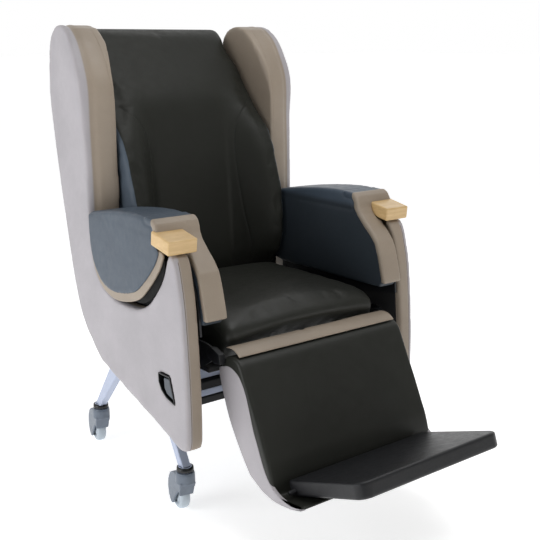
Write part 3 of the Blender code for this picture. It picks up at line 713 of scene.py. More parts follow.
M_BEECH = wood_material()
M_SILVER = metal_material("steel_silver", srgb(182, 191, 212), 0.36, 0.35)
M_BLACK_STEEL = metal_material("steel_black", srgb(26, 27, 30), 0.42, 0.2, 0.3)
M_HOOD = plastic_material("castor_grey", srgb(104, 114, 127), 0.36)
M_TREAD = plastic_material("castor_tread", srgb(186, 197, 206), 0.42)
M_BLACK_PLASTIC = plastic_material("plastic_black", srgb(20, 21, 23), 0.34)
M_PADDLE = plastic_material("plastic_grey", srgb(62, 69, 78), 0.34)
M_BLACK_BOARD = board_material()

# ---- carried-over CAD nodes -----------------------------------------------------
KEPT = {
    "steel_silver": M_SILVER,
    "steel_black": M_BLACK_STEEL,
    "board_black": M_BLACK_BOARD,
    "plastic_black": M_BLACK_PLASTIC,
    "plastic_grey": M_PADDLE,
    "tread": M_TREAD,
    "beech": M_BEECH,
    "vinyl_black": M_REAR,
    "vinyl_taupe": M_TAUPE,
    "vinyl_grey": M_SHELL,
    "vinyl_slate": M_SLATE,
    "vinyl_charcoal": M_CHARCOAL,
}


def finish_nodes():
    """Gives every CAD node the finished material of its slot."""
    for node in frame["nodes"].values():
        slot = node.data.materials[0].name.split(".")[0]
        node.data.materials.clear()
        node.data.materials.append(KEPT[slot])


finish_nodes()

# ---- side panels with their wings -----------------------------------------------
WING_FRONT = [
    (0.444, 0.560), (0.444, 0.640), (0.433, 0.704), (0.430, 0.760), (0.434, 0.853),
    (0.431, 0.916), (0.438, 1.003), (0.455, 1.052), (0.479, 1.093), (0.509, 1.128),
    (0.545, 1.155),
]
PANEL_FRONT = [
    (0.437, 0.560), (0.441, 0.640), (0.445, 0.702), (0.447, 0.800), (0.449, 0.860),
    (0.453, 0.920), (0.452, 0.981), (0.458, 1.029), (0.478, 1.079), (0.506, 1.126),
    (0.543, 1.157),
]
WING_REAR = [
    (0.585, 1.1635), (0.620, 1.155), (0.645, 1.133), (0.659, 1.100), (0.666, 1.050),
    (0.669, 0.996), (0.664, 0.944), (0.646, 0.852), (0.624, 0.755), (0.598, 0.650),
    (0.575, 0.545),
]
SHELL_FRONT = [
    (0.006, 0.650), (-0.006, 0.628), (-0.020, 0.580), (-0.028, 0.530), (-0.035, 0.460),
    (-0.040, 0.390), (-0.043, 0.320), (-0.043, 0.245), (-0.034, 0.222), (-0.010, 0.2155),
    (0.040, 0.225), (0.139, 0.245), (0.259, 0.271), (0.411, 0.308),
]
WING_LAYERS = 14
EDGE_POINTS = 70


def wing_block(side):
    """Padded wing behind the sitter's head: its front runs from the panel's edge to the inner one."""
    inner = np.vstack([even(chain(WING_FRONT), EDGE_POINTS), even(chain(WING_REAR), EDGE_POINTS)])
    outer = np.vstack([even(chain(PANEL_FRONT), EDGE_POINTS), even(chain(WING_REAR), EDGE_POINTS)])
    count = len(inner)
    verts, faces = [], []
    for i in range(WING_LAYERS + 1):
        share = i / WING_LAYERS
        rows = inner * (1 - share) + outer * share
        swell = 0.005 * math.sin(math.pi * share)
        for k, (d, z) in enumerate(rows):
            near = WING_IN - 0.016 * smooth_step(1.03, 1.13, z)
            x = near + (shell_outer(d) - 0.004 - near) * share
            verts.append((side * x, d - SHIFT - (swell if k < EDGE_POINTS else 0.0), z))
    for i in range(WING_LAYERS):
        for k in range(count):
            m = (k + 1) % count
            faces.append((i * count + k, i * count + m, (i + 1) * count + m, (i + 1) * count + k))
    faces.append(tuple(range(count)))
    faces.append(tuple(range(WING_LAYERS * count, (WING_LAYERS + 1) * count)))
    return make("wing_block", verts, faces)


def panel_line(outline, side, inset, ahead):
    """3-D line just outside an edge outline, inset from the panel's outer face."""
    rows = chain(outline)
    along = np.gradient(rows, axis=0)
    along /= np.maximum(np.linalg.norm(along, axis=1, keepdims=True), 1e-9)
    rows = rows + np.stack([-along[:, 1], along[:, 0]], axis=1) * ahead
    return [(side * (shell_outer(d) - inset), d - SHIFT, z) for d, z in rows]


def build_panel(tag, side):
    # the outer band of this skin carries the painted key light (grey) of M_SHELL
    skin = joined_copy("side_panel_" + tag, ["side_shell_" + tag, wing_block(side)], M_SHELL)
    remesh(skin, 0.005, 5)
    points = points_of(skin)
    d, z = points[:, 1] + SHIFT, points[:, 2]
    # the padding bulges outward, most at the wing, and the front corner is drawn up and in
    height = np.clip((z - 0.22) / 0.94, 0, 1)
    swell = 0.003 * np.sin(np.pi * height) * smooth_step(0.0, 0.12, d + 0.04)
    outside = smooth_step(-0.030, -0.004, side * points[:, 0] - shell_outer(d))
    swell = swell + 0.010 * np.exp(-(((z - 1.03) / 0.13) ** 2)) * smooth_step(0.62, 0.50, d)
    points[:, 0] += side * swell * outside
    points[:, 2] += 0.009 * smooth_step(0.600, 0.645, z) * smooth_step(0.060, 0.020, d)
    points[:, 2] -= 0.005 * smooth_step(0.270, 0.220, z) * smooth_step(0.120, 0.020, d)
    within = smooth_step(-0.014, -0.030, side * points[:, 0] - shell_outer(d))
    points[:, 0] -= side * 0.006 * within * smooth_step(0.060, 0.000, d)
    set_points(skin, points)
    edge = on_surface(skin, panel_line(SHELL_FRONT, side, SHELL_BAND, -0.02)[:-16])
    groove(skin, edge, 0.0010, 0.004)
    crease = on_surface(skin, panel_line(PANEL_FRONT[2:] + WING_REAR[:4], side, 0.018, 0.012))
    groove(skin, crease, 0.0034, 0.009)
    inner = [(side * (WING_IN + 0.006), d - 0.02 - SHIFT, z) for d, z in chain(WING_FRONT[2:])]
    seam = on_surface(skin, inner)
    groove(skin, seam, 0.0008, 0.004)
    attach(skin, "base", "vinyl_grey", "side_shell_" + tag, "wing_pad_" + tag)
    welt("panel_piping_" + tag, on_surface(skin, [p for p, _ in edge]), M_SEAM_TAUPE, "base", 0.0013)
    welt("wing_seam_" + tag, on_surface(skin, [p for p, _ in seam]), M_WELT_TAUPE, "base", 0.0009)


for tag, side in SIDES:
    build_panel(tag, side)

# ---- back cushion ---------------------------------------------------------------
BACK_FACE = [
    (0.4560, 0.4900), (0.4580, 0.5300), (0.4640, 0.6000), (0.4720, 0.7000), (0.4820, 0.8000),
    (0.4940, 0.9000), (0.5080, 0.9600), (0.5310, 1.0050), (0.5640, 1.0480), (0.6020, 1.0950),
    (0.6320, 1.1330), (0.6560, 1.1520),
]
BACK_TOP = [(0.6720, 1.1570), (0.6880, 1.1540), (0.6960, 1.1400), (0.6980, 1.1180), (0.6940, 1.1060)]
BACK_REST = [
    (0.6826, 1.1062), (0.6672, 1.0500), (0.6492, 0.9440), (0.6302, 0.8520), (0.6102, 0.7600),
    (0.5872, 0.6550), (0.5622, 0.5430), (0.5480, 0.4760),
]
BOLSTER_REACH = [
    (0.440, 0.0300), (0.470, 0.0450), (0.499, 0.0615), (0.530, 0.0880), (0.580, 0.1065),
    (0.640, 0.1150), (0.715, 0.1135), (0.770, 0.1030), (0.830, 0.0880), (0.875, 0.0700),
    (0.905, 0.0520), (0.930, 0.0340), (0.955, 0.0180), (0.985, 0.0060), (1.010, 0.0),
]
BOLSTER_ACROSS = [
    (0.120, 0.0), (0.142, 0.17), (0.160, 0.38), (0.180, 0.62), (0.205, 0.88), (0.224, 1.0),
    (0.238, 0.97), (0.246, 0.90),
]
BACK_SEAM = [
    (0.205, 0.955), (0.172, 0.928), (0.146, 0.888), (0.138, 0.830), (0.139, 0.760), (0.145, 0.670),
    (0.155, 0.590), (0.168, 0.510),
]


def table_value(rows, at, key=1, value=0):
    rows = sorted(rows, key=lambda r: r[key])
    return np.interp(at, [r[key] for r in rows], [r[value] for r in rows])


def build_back():
    outline = [(0.4720, 0.4580), (0.4560, 0.4680)] + [tuple(r) for r in chain(BACK_FACE, 4)]
    outline += BACK_TOP + BACK_REST + [(0.5420, 0.4580)]
    pad = pillow("back_pad", outline, -0.2405, 0.2405, 0.014, M_BACK, count=260, spans=60)
    points = points_of(pad)
    x, d, z = np.abs(points[:, 0]), points[:, 1] + SHIFT, points[:, 2]
    face, rest = table_value(BACK_FACE, z), table_value(BACK_REST, z)
    share = np.clip((rest - d) / (rest - face), 0, 1)
    reach = table_value(BOLSTER_REACH, z, 0, 1)
    bulge = reach * table_value(BOLSTER_ACROSS, x, 0, 1)
    crown = 0.007 * (1 - (x / CUSHION_HALF) ** 2) * smooth_step(0.48, 0.60, z)
    points[:, 1] -= (bulge + crown) * share
    points[:, 0] *= 1 - 0.062 * smooth_step(1.04, 1.12, z)
    set_points(pad, points)
    remesh(pad, PAD_VOXEL, 5)

    def free(rows):
        behind = table_value(BACK_REST, rows[:, 2]) - (rows[:, 1] + SHIFT)
        return smooth_step(0.006, 0.040, behind)

    inflate(pad, BACK_SWELL, free)
    ease(pad, 3)
    limit(pad, 0, -0.2440, 0.2440)
    subdivide(pad)
    for side in (-1, 1):
        line = [(side * x, -1.0, z) for x, z in chain(BACK_SEAM)]
        seam = cast_lines(pad, line, (0, 1, 0))
        groove(pad, seam, 0.0013, 0.0032)
    points, normals = points_of(pad), normals_of(pad)
    x, d, z = points[:, 0], points[:, 1] + SHIFT, points[:, 2]
    wall = smooth_step(0.2340, 0.2400, np.abs(x)) * smooth_step(0.955, 0.90, z) * smooth_step(0.60, 0.50, d)
    ripple = np.sin((z + (d - 0.4) * 0.9) * 2 * np.pi / 0.072 + 1.1 * np.sin(z * 23.0))
    points[:, 0] -= np.sign(x) * wall * 0.0008 * (1 + ripple)
    set_points(pad, points)
    attach(pad, "back", "vinyl_charcoal", "back_cushion", "back_bolster_R", "back_bolster_L")
    for tag, side in SIDES:
        line = [(side * x, -1.0, z) for x, z in chain(BACK_SEAM)]
        welt("back_seam_" + tag, cast_lines(pad, line, (0, 1, 0)), M_SEAM_DARK, "back", 0.0004, 0.3)


build_back()


def build_back_cover():
    rear = [
        (0.5600, 0.4500), (0.5800, 0.5430), (0.6050, 0.6550), (0.6280, 0.7600), (0.6480, 0.8520),
        (0.6670, 0.9440), (0.6790, 1.0200), (0.6920, 1.0960),
    ]
    front = [
        (0.6830, 1.1045), (0.6680, 1.0500), (0.6500, 0.9440), (0.6310, 0.8520), (0.6110, 0.7600),
        (0.5880, 0.6550), (0.5630, 0.5430), (0.5440, 0.4500),
    ]
    outline = [tuple(r) for r in chain(rear, 5)] + [tuple(r) for r in chain(front, 5)]
    cover = pillow("back_cover", outline, -0.2460, 0.2460, 0.005, M_REAR, count=240, spans=40)
    attach(cover, "back", "vinyl_black", "back_board")
    for number, x in enumerate((-0.150, 0.0, 0.150)):
        line = [(x, 1.0, z) for z in np.linspace(0.475, 1.085, 20)]
        seam = cast_lines(cover, line, (0, -1, 0))
        welt(f"back_cover_seam_{number}", seam, M_SEAM_DARK, "back", 0.0010, 0.1)


build_back_cover()

# ---- seat cushion ---------------------------------------------------------------
SEAT = [
    (0.012, 0.3885), (-0.004, 0.4030), (-0.017, 0.4240), (-0.0270, 0.4450), (-0.0270, 0.4660),
    (-0.012, 0.4850), (0.030, 0.4960), (0.120, 0.4990), (0.250, 0.4980), (0.380, 0.4940),
    (0.428, 0.4860), (0.441, 0.4700), (0.446, 0.4400), (0.446, 0.4000), (0.440, 0.3885),
]


def build_seat():
    outline = [tuple(r) for r in chain(SEAT, 5)]
    pad = pillow("seat_pad", outline, -0.2400, 0.2400, 0.024, M_CHARCOAL, count=220, spans=60)
    points = points_of(pad)
    x, d, z = points[:, 0], points[:, 1] + SHIFT, points[:, 2]
    crown = 0.012 * (1 - (x / CUSHION_HALF) ** 2) * smooth_step(0.40, 0.49, z) * smooth_step(0.45, 0.36, d)
    points[:, 2] += crown
    front = smooth_step(0.05, 0.0, d) * smooth_step(0.40, 0.45, z)
    points[:, 1] -= 0.004 * (1 - (x / CUSHION_HALF) ** 2) * front
    nose = (1 - (x / CUSHION_HALF) ** 2) * smooth_step(0.05, -0.01, d) * smooth_step(0.487, 0.44, z)
    points[:, 2] += 0.024 * nose
    set_points(pad, points)
    remesh(pad, PAD_VOXEL, 5)

    def free(rows):
        return smooth_step(0.392, 0.420, rows[:, 2]) * smooth_step(0.445, 0.40, rows[:, 1] + SHIFT)

    inflate(pad, SEAT_SWELL, free)
    ease(pad, 3)
    limit(pad, 0, -0.2455, 0.2455)
    limit(pad, 1, -0.0325 - SHIFT, None, 0.003)
    subdivide(pad)
    attach(pad, "base", "vinyl_charcoal", "seat_cushion")


build_seat()

# ---- arms -----------------------------------------------------------------------
FLAP = [
    (0.0380, 0.6600), (0.0540, 0.6310), (0.0780, 0.6040), (0.1130, 0.5710), (0.1650, 0.5330),
    (0.2390, 0.5100), (0.3100, 0.5040), (0.3700, 0.5210), (0.4100, 0.5580), (0.4300, 0.6130),
    (0.4340, 0.6620), (0.4350, 0.6870),
]
FLAP_BAND = [(0.0, 0.016), (0.25, 0.019), (0.5, 0.020), (0.7, 0.014), (0.85, 0.006), (1.0, 0.004)]


def flap_lines():
    """Outer edge of the taupe border and the edge of the slate cover inside it."""
    outer = even(chain(FLAP), 90)
    along = np.gradient(outer, axis=0)
    along /= np.linalg.norm(along, axis=1, keepdims=True)
    inward = np.stack([-along[:, 1], along[:, 0]], axis=1)
    share = np.linspace(0, 1, len(outer))
    width = np.interp(share, [r[0] for r in FLAP_BAND], [r[1] for r in FLAP_BAND])
    return outer, outer + inward * width[:, None]


GRIP_X = (0.2930, 0.3700)
GRIP_D = (0.0000, 0.0740)
GRIP_Z = (0.6680, 0.7010)
GRIP_RISE = 0.19
GRIP_LEAN = 0.11
ARM_CORNER = [
    (0.3000, 0.5000), (0.3800, 0.5000), (0.4180, 0.5080), (0.4240, 0.5400), (0.4250, 0.6900),
    (0.3000, 0.6900),
]
ARM_SKIRT = [
    (-0.0280, 0.5040), (0.1280, 0.5020), (0.3000, 0.5010), (0.3100, 0.5400), (0.1280, 0.5400),
    (-0.0200, 0.5400),
]
# Outline of the painted shadow sheet under each arm flap.
FLAP_SHADOW = [
    (0.0420, 0.6560), (0.0400, 0.6280), (0.0580, 0.5960), (0.0950, 0.5560), (0.1400, 0.5300),
    (0.1850, 0.5220), (0.2300, 0.5250), (0.1800, 0.5600), (0.1000, 0.6000),
]
FACING_PROUD = 0.0012
FACING_END = 0.0850


def cut_behind(obj, y):
    """Cuts a closed mesh off behind a plane across the chair and closes the cut."""
    work = bmesh.new()
    work.from_mesh(obj.data)
    everything = list(work.verts) + list(work.edges) + list(work.faces)
    cut = bmesh.ops.bisect_plane(
        work, geom=everything, plane_co=(0, y, 0), plane_no=(0, 1, 0), clear_outer=True
    )
    edges = [e for e in cut["geom_cut"] if isinstance(e, bmesh.types.BMEdge)]
    bmesh.ops.edgenet_fill(work, edges=edges)
    work.to_mesh(obj.data)
    work.free()
    return obj


def build_gusset(tag, side):
    """Black corner piece that closes the gap between seat, arm and back."""
    xs = sorted((side * 0.2440, side * 0.2620))
    # near-black, in the same finish as the painted shadow under the arm flaps
    block = rounded_box(
        "corner_gusset_" + tag, (xs[0], 0.4250 - SHIFT, 0.4200), (xs[1], 0.4530 - SHIFT, 0.5350), 0.003,
        M_SHADOW_BLACK,
    )
    attach(block, "base", "vinyl_black")


def build_grip(tag, side):
    """Wooden hand rest that rises towards the rear."""
    xs = sorted(side * x for x in GRIP_X)
    low, high = (xs[0], GRIP_D[0] - SHIFT, GRIP_Z[0]), (xs[1], GRIP_D[1] - SHIFT, GRIP_Z[1])
    grip = rounded_box("grip_" + tag, low, high, 0.004, M_BEECH)
    points = points_of(grip)
    d, z = points[:, 1] + SHIFT, points[:, 2]
    points[:, 1] += GRIP_LEAN * (GRIP_Z[1] - z)
    points[:, 2] += GRIP_RISE * d
    return set_points(grip, points)


def build_arm(tag, side):
    outer, inner = flap_lines()
    closing = [(0.4300, 0.7000), (0.0900, 0.7000)]
    border = pillow(
        "flap_border_" + tag, [tuple(r) for r in outer] + [(0.4200, 0.6880), (0.0420, 0.6690)],
        lambda d: side * (shell_outer(d) + 0.0018), lambda d: side * (shell_outer(d) + 0.0080),
        side * 0.0026, M_TAUPE, count=260, steps=4, spans=3,
    )
    # painted shadow: a near-black sheet at the panel face, where the lifted flap throws its shade
    shadow_sheet = pillow(
        "flap_shadow_" + tag, [tuple(r) for r in chain(FLAP_SHADOW[:7], 5)] + FLAP_SHADOW[7:],
        lambda d: side * (shell_outer(d) - 0.0010), lambda d: side * (shell_outer(d) + 0.0022),
        side * 0.0009, M_SHADOW_BLACK, count=160, steps=3, spans=2,
    )
    flap = pillow(
        "flap", [tuple(r) for r in inner] + closing,
        lambda d: side * (shell_outer(d) + 0.0062), lambda d: side * (shell_outer(d) + 0.0118),
        side * 0.0026, M_SLATE, count=260, steps=4, spans=3,
    )
    fills = [
        pillow("fill", outline, lambda d: side * 0.2475, lambda d: side * (shell_inner(d) - 0.0180),
               side * 0.004, M_SLATE, count=120, steps=3, spans=3)
        for outline in (ARM_CORNER, ARM_SKIRT)
    ]
    under = ["arm_top_" + tag, "arm_pad_" + tag, "arm_facing_" + tag]
    cover = joined_copy("arm_cover_" + tag, under + [flap] + fills, M_SLATE)
    remesh(cover, 0.0035, 7)
    for piece, slot in ((border, "vinyl_taupe"), (cover, "vinyl_slate"), (shadow_sheet, "vinyl_charcoal")):
        attach(piece, "arm_" + tag, slot)
    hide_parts("arm_top_" + tag, "arm_pad_" + tag, "arm_flap_" + tag)
    facing = joined_copy("arm_front_" + tag, ["arm_facing_" + tag], M_FACING)
    remesh(facing, 0.003, 5)
    set_points(facing, points_of(facing) + FACING_PROUD * normals_of(facing))
    cut_behind(facing, FACING_END - SHIFT)
    tuck = [(side * (0.292 - 0.012 * k), 0.074 - SHIFT, 0.742 - 0.022 * k) for k in range(4)]
    groove(facing, on_surface(facing, tuck), 0.0009, 0.0035)
    attach(facing, "arm_" + tag, "vinyl_taupe", "arm_facing_" + tag)
    grip = build_grip(tag, side)
    attach(grip, "arm_" + tag, "beech", "arm_grip_" + tag)


for tag, side in SIDES:
    build_arm(tag, side)
    build_gusset(tag, side)

# ---- leg rest -------------------------------------------------------------------
LEG_BACK = [
    (-0.0180, 0.3970), (-0.0190, 0.3760), (-0.0340, 0.3320), (-0.0570, 0.2780), (-0.0960, 0.2170),
    (-0.1330, 0.1700),
]
LEG_UNDER = [
    (-0.1330, 0.1700), (-0.1780, 0.1480), (-0.2250, 0.1400), (-0.2780, 0.1460), (-0.3210, 0.1590),
]
LEG_SIDE_FRONT = [
    (-0.3220, 0.1620), (-0.2770, 0.1540), (-0.2250, 0.1640), (-0.1900, 0.1970), (-0.1600, 0.2560),
    (-0.1460, 0.2840), (-0.1220, 0.3500), (-0.1020, 0.3840), (-0.0820, 0.4000), (-0.0520, 0.4070),
    (-0.0180, 0.3960),
]
LEG_PAD_FRONT = [
    (-0.3170, 0.1650), (-0.2780, 0.1540), (-0.2350, 0.1485), (-0.2215, 0.1500), (-0.2165, 0.1600),
    (-0.2110, 0.1830), (-0.2000, 0.2150), (-0.1860, 0.2433), (-0.1610, 0.2950), (-0.1346, 0.3455),
    (-0.1170, 0.3800), (-0.1010, 0.4110), (-0.0880, 0.4250), (-0.0680, 0.4320), (-0.0400, 0.4250),
    (-0.0240, 0.4090),
]
LEG_HINGE = [
    (-0.0460, 0.4120), (-0.0200, 0.4080), (0.0080, 0.4180), (0.0130, 0.4300), (0.0060, 0.4400),
    (-0.0100, 0.4430), (-0.0400, 0.4340),
]
BOARD_SHOWS = 0.004


def smooth_outline(*parts):
    rows = []
    for part in parts:
        rows += [tuple(r) for r in chain(part, 6)]
    return rows


def build_leg_rest():
    """One upholstered cushion, with a thin panel on each side of it, coloured with painted key light as
    grey.
    """
    for tag, side in SIDES:
        # painted light: each side panel takes the key-lit grey of the taupe vinyl
        panel = pillow(
            "leg_side_" + tag, smooth_outline(LEG_BACK, LEG_UNDER[1:], LEG_SIDE_FRONT),
            side * 0.2440, side * 0.2536, side * 0.0020, M_KEY_LIT_GREY, count=260, spans=3,
        )
        attach(panel, "leg_rest", "vinyl_grey")
        hinge = pillow(
            "leg_hinge_" + tag, LEG_HINGE, side * 0.2537, side * 0.2700, side * 0.002, M_BLACK_STEEL
        )
        attach(hinge, "leg_rest", "steel_black", "leg_bracket_" + tag)
    back = [(d - BOARD_SHOWS, z) for d, z in LEG_BACK[1:]]
    under = [(d, z + 0.0012) for d, z in LEG_UNDER[1:]]
    pad = pillow(
        "leg_pad_cover", smooth_outline(back, under, LEG_PAD_FRONT), -0.2525, 0.2525, 0.008, M_CHARCOAL,
        count=340, spans=50,
    )
    attach(pad, "leg_rest", "vinyl_charcoal", "leg_pad", "leg_cheek_R", "leg_cheek_L")


build_leg_rest()


APRON_HALF = 0.2430
APRON_PROFILE = [
    (-0.0335, 0.4450), (-0.0480, 0.4470), (-0.0630, 0.4450), (-0.0760, 0.4390), (-0.0830, 0.4335),
]


def build_apron():
    """Loose strip that bridges the seat front and the leg rest."""
    rows = even(chain(APRON_PROFILE), 16)
    across = np.linspace(-APRON_HALF, APRON_HALF, 110)
    verts, faces = [], []
    for x in across:
        ripple = 0.0004 * math.sin(x * 41.0 + 1.0) - 0.0016 * math.exp(-(((x + 0.02) / 0.008) ** 2))
        back = 0.0008 * math.sin(x * 33.0) + 0.0025 * math.exp(-(((x + 0.02) / 0.006) ** 2))
        for k, (d, z) in enumerate(rows):
            share = 1 - k / (len(rows) - 1)
            verts.append((x, d - back * share - SHIFT, z + ripple * share))
    count = len(rows)
    for i in range(len(across) - 1):
        for k in range(count - 1):
            faces.append((i * count + k, i * count + k + 1, (i + 1) * count + k + 1, (i + 1) * count + k))
    strip = make("apron", verts, faces, M_TAUPE)
    solid = strip.modifiers.new("thickness", "SOLIDIFY")
    solid.thickness = 0.0016
    solid.offset = 0.0
    bake(strip)
    attach(strip, "leg_rest", "vinyl_taupe", "seat_apron")


build_apron()

# ---- foot board -----------------------------------------------------------------
FOOT_REAR = (-0.2320, 0.1840)
FOOT_HALF = 0.2160
FOOT_LENGTH = 0.2380
FOOT_THICK = 0.0360
FOOT_TILT = math.radians(20)
FOOT_CORNER = 0.022
FOOT_PIVOT = (-0.249, 0.165)
FOOT_PIN_HALF = 0.231
FOOT_PIN_R = 0.005


def foot_place(drop, x, run):
    d = FOOT_REAR[0] - math.cos(FOOT_TILT) * run - math.sin(FOOT_TILT) * drop
    z = FOOT_REAR[1] + math.sin(FOOT_TILT) * run - math.cos(FOOT_TILT) * drop
    return (x, d - SHIFT, z)


def build_foot_board():
    half, length, corner = FOOT_HALF, FOOT_LENGTH, FOOT_CORNER
    plan = [
        (-half, -0.008), (0.0, -0.008), (half, -0.008), (half, 0.10), (half, length - corner),
        (half - 0.35 * corner, length - 0.35 * corner), (half - corner, length), (0.0, length),
        (corner - half, length), (0.35 * corner - half, length - 0.35 * corner),
        (-half, length - corner), (-half, 0.10),
    ]
    board = pillow(
        "foot_pad", plan, 0.0, FOOT_THICK, 0.006, M_BOARD, count=240, spans=6, place=foot_place
    )
    attach(board, "foot_board", "vinyl_black", "foot_board")
    line = [(x, FOOT_PIVOT[0] - SHIFT, FOOT_PIVOT[1]) for x in (-FOOT_PIN_HALF, -0.1, 0.1, FOOT_PIN_HALF)]
    pin = tube("foot_pin", line, FOOT_PIN_R, M_BLACK_STEEL, 20)
    attach(pin, "foot_board", "steel_black")


build_foot_board()


# ---- mechanism ------------------------------------------------------------------
def build_trim():
    """Bright lower strip of the mechanism tube."""
    trim = rounded_box(
        "mechanism_trim", (-0.3015, 0.0786 - SHIFT, 0.2885), (0.3015, 0.0900 - SHIFT, 0.3050), 0.0012,
        M_SILVER,
    )
    attach(trim, "base", "steel_silver")


build_trim()

# ---- castors --------------------------------------------------------------------
WHEEL_R = 0.0375
WHEEL_HALF = 0.0125
CASTOR_TRAIL = 0.035
ARCH_R = 0.0405
JOINTS = {row["name"]: row for row in frame["joints"]}
WHEEL_SIDE = [
    (0.0043, 0.0020), (0.0150, 0.0020), (0.0165, 0.0035), (0.0240, 0.0035), (0.0262, 0.0),
    (0.0322, 0.0), (0.0352, 0.0022), (0.0369, 0.0060),
]
SOCKET_RING = [
    (0.0120, 0.1145), (0.0205, 0.1145), (0.0212, 0.1160), (0.0205, 0.1245), (0.0120, 0.1265),
]
HOOD_PLATE = [
    (0.0100, 0.0900), (0.0180, 0.1020), (0.0400, 0.0990), (0.0600, 0.0870), (0.0730, 0.0660),
    (0.0760, 0.0440), (0.0710, 0.0250), (0.0600, 0.0120), (0.0490, 0.0080), (0.0400, 0.0130),
    (0.0260, 0.0340), (0.0040, 0.0600), (-0.0150, 0.0760), (-0.0210, 0.0880),
]
HOOD_CROWN = [
    (-0.0210, 0.0880), (0.0180, 0.1020), (0.0400, 0.0990), (0.0600, 0.0870), (0.0730, 0.0660),
    (0.0760, 0.0440),
]
HOOD_CUP = [
    (0.0172, 0.0840), (0.0172, 0.1110), (0.0185, 0.1130), (0.0220, 0.1120), (0.0238, 0.1060),
    (0.0242, 0.0840),
]


def build_hood(tag, axle, swivel, axis):
    """Castor hood: two side plates, a crown over the wheel and a cup round the leg's socket."""
    across = Vector(axis).normalized()
    back = Vector((axle[0] - swivel[0], axle[1] - swivel[1], 0)).normalized()

    def place(x, u, z):
        return (swivel[0] + across.x * x + back.x * u, swivel[1] + across.y * x + back.y * u, z)

    turns = np.linspace(math.radians(5), math.radians(165), 14)
    arch = [(CASTOR_TRAIL + ARCH_R * math.cos(t), WHEEL_R + ARCH_R * math.sin(t)) for t in turns]
    pin = [place(x, CASTOR_TRAIL, WHEEL_R) for x in (-0.0195, 0.0, 0.0195)]
    parts = [
        pillow("plate", HOOD_PLATE, -0.0200, -0.0142, 0.0015, M_HOOD, 90, 3, 2, place),
        pillow("plate", HOOD_PLATE, 0.0142, 0.0200, 0.0015, M_HOOD, 90, 3, 2, place),
        pillow("crown", HOOD_CROWN + arch, -0.0185, 0.0185, 0.0020, M_HOOD, 120, 3, 3, place),
        lathe("cup", HOOD_CUP, (swivel[0], swivel[1], 0.0), (0, 0, 1), M_HOOD, 40),
        tube("pin", pin, 0.0042, M_HOOD, 16),
    ]
    return joined_copy("castor_fork_" + tag, parts, M_HOOD)


def build_castor(tag):
    swivel = JOINTS["castor_swivel_" + tag]["pos_m"]
    centre, axis = JOINTS["wheel_roll_" + tag]["pos_m"], JOINTS["wheel_roll_" + tag]["axis"]
    hood = build_hood(tag, centre, swivel, axis)
    remesh(hood, 0.0013, 3)
    attach(hood, "castor_" + tag, "plastic_grey", "castor_hood_" + tag)
    near = [(r, w - WHEEL_HALF) for r, w in WHEEL_SIDE]
    profile = near + [(WHEEL_R, 0.0)] + [(r, -w) for r, w in near[::-1]]
    wheel = lathe("castor_tread_" + tag, profile, centre, axis, M_TREAD, 64)
    attach(wheel, "wheel_" + tag, "tread", "castor_wheel_" + tag)
    socket = lathe(
        "castor_socket_" + tag, SOCKET_RING, (swivel[0], swivel[1], 0.0), (0, 0, 1), M_BLACK_PLASTIC, 48
    )
    attach(socket, "base", "plastic_black")


for tag in [name[-2:] for name in JOINTS if name.startswith("wheel_roll")]:
    build_castor(tag)

# ---- stage, light and camera ----------------------------------------------------
FLOOR_REACH = 60.0
FLOOR_GLOW = 0.72


def build_stage():
    n = Nodes("floor")
    tone = n.blend(n.noise(0.8, 2.0), (0.88, 0.88, 0.88), (0.90, 0.90, 0.90))
    n.set(Base_Color=tone, Roughness=0.8, Emission_Color=tone, Emission_Strength=FLOOR_GLOW)
    corners = [(x * FLOOR_REACH, y * FLOOR_REACH, 0) for x, y in ((-1, -1), (1, -1), (1, 1), (-1, 1))]
    floor = make("floor", corners, [(0, 1, 2, 3)], n.material)


def area_light(name, place, target, size, power, colour):
    light = bpy.data.lights.new(name, "AREA")
    light.shape = "RECTANGLE"
    light.size, light.size_y = size
    light.energy = power
    light.color = colour
    lamp = bpy.data.objects.new(name, light)
    bpy.context.scene.collection.objects.link(lamp)
    lamp.location = place
    lamp.rotation_mode = "QUATERNION"
    lamp.rotation_quaternion = (Vector(target) - Vector(place)).to_track_quat("-Z", "Y")


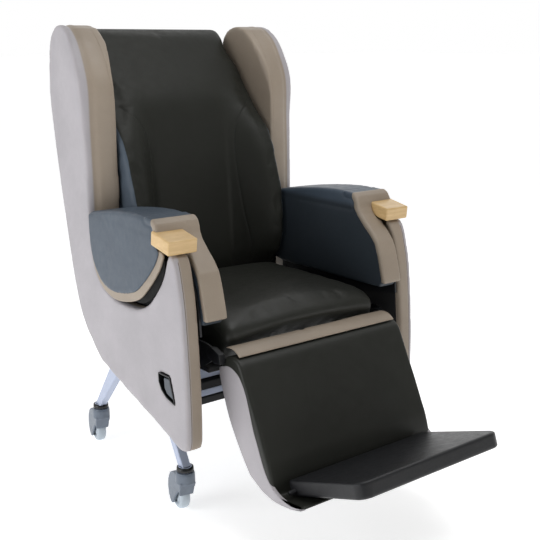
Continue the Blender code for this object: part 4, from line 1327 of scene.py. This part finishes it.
def build_light():
    world = bpy.data.worlds.new("studio")
    world.use_nodes = True
    tree = world.node_tree
    back = tree.nodes["Background"]
    place = tree.nodes.new("ShaderNodeTexCoord").outputs["Generated"]
    facing = tree.nodes.new("ShaderNodeVectorMath")
    facing.operation = "DOT_PRODUCT"
    tree.links.new(place, facing.inputs[0])
    facing.inputs[1].default_value = Vector((0.55, 0.80, 0.12)).normalized()
    ramp = tree.nodes.new("ShaderNodeMapRange")
    ramp.interpolation_type = "SMOOTHSTEP"
    for key, number in (("From Min", 0.1), ("From Max", 0.8), ("To Min", 0.14), ("To Max", 1.0)):
        ramp.inputs[key].default_value = number
    tree.links.new(facing.outputs["Value"], ramp.inputs["Value"])
    tree.links.new(ramp.outputs["Result"], back.inputs["Strength"])
    back.inputs["Color"].default_value = (1.0, 1.0, 1.0, 1.0)
    bpy.context.scene.world = world
    area_light("key", (-3.4, 0.6, 1.4), (0, 0, 0.6), (2.4, 1.8), 52, (0.97, 0.98, 1.0))
    area_light("fill", (0.4, -3.6, 1.2), (0, 0, 0.5), (2.0, 1.6), 9, (1.0, 0.95, 0.88))
    area_light("top", (0.3, -0.9, 3.2), (0, 0, 0.4), (2.0, 2.0), 40, (1.0, 1.0, 1.0))


CAMERA_PLACE = (-1.400, -1.6860 - SHIFT, 1.128)
CAMERA_HEADING = math.radians(37.81)
CAMERA_DOWN = math.radians(13.96)
CAMERA_LENS = 61.91


def build_camera():
    data = bpy.data.cameras.new("camera")
    data.sensor_width = 36.0
    data.lens = CAMERA_LENS
    camera = bpy.data.objects.new("camera", data)
    bpy.context.scene.collection.objects.link(camera)
    ahead = Vector(
        (
            math.sin(CAMERA_HEADING) * math.cos(CAMERA_DOWN),
            math.cos(CAMERA_HEADING) * math.cos(CAMERA_DOWN),
            -math.sin(CAMERA_DOWN),
        )
    )
    camera.location = CAMERA_PLACE
    camera.rotation_mode = "QUATERNION"
    camera.rotation_quaternion = ahead.to_track_quat("-Z", "Y")
    bpy.context.scene.camera = camera


build_stage()
build_light()
build_camera()
bpy.context.scene.view_settings.view_transform = "Standard"
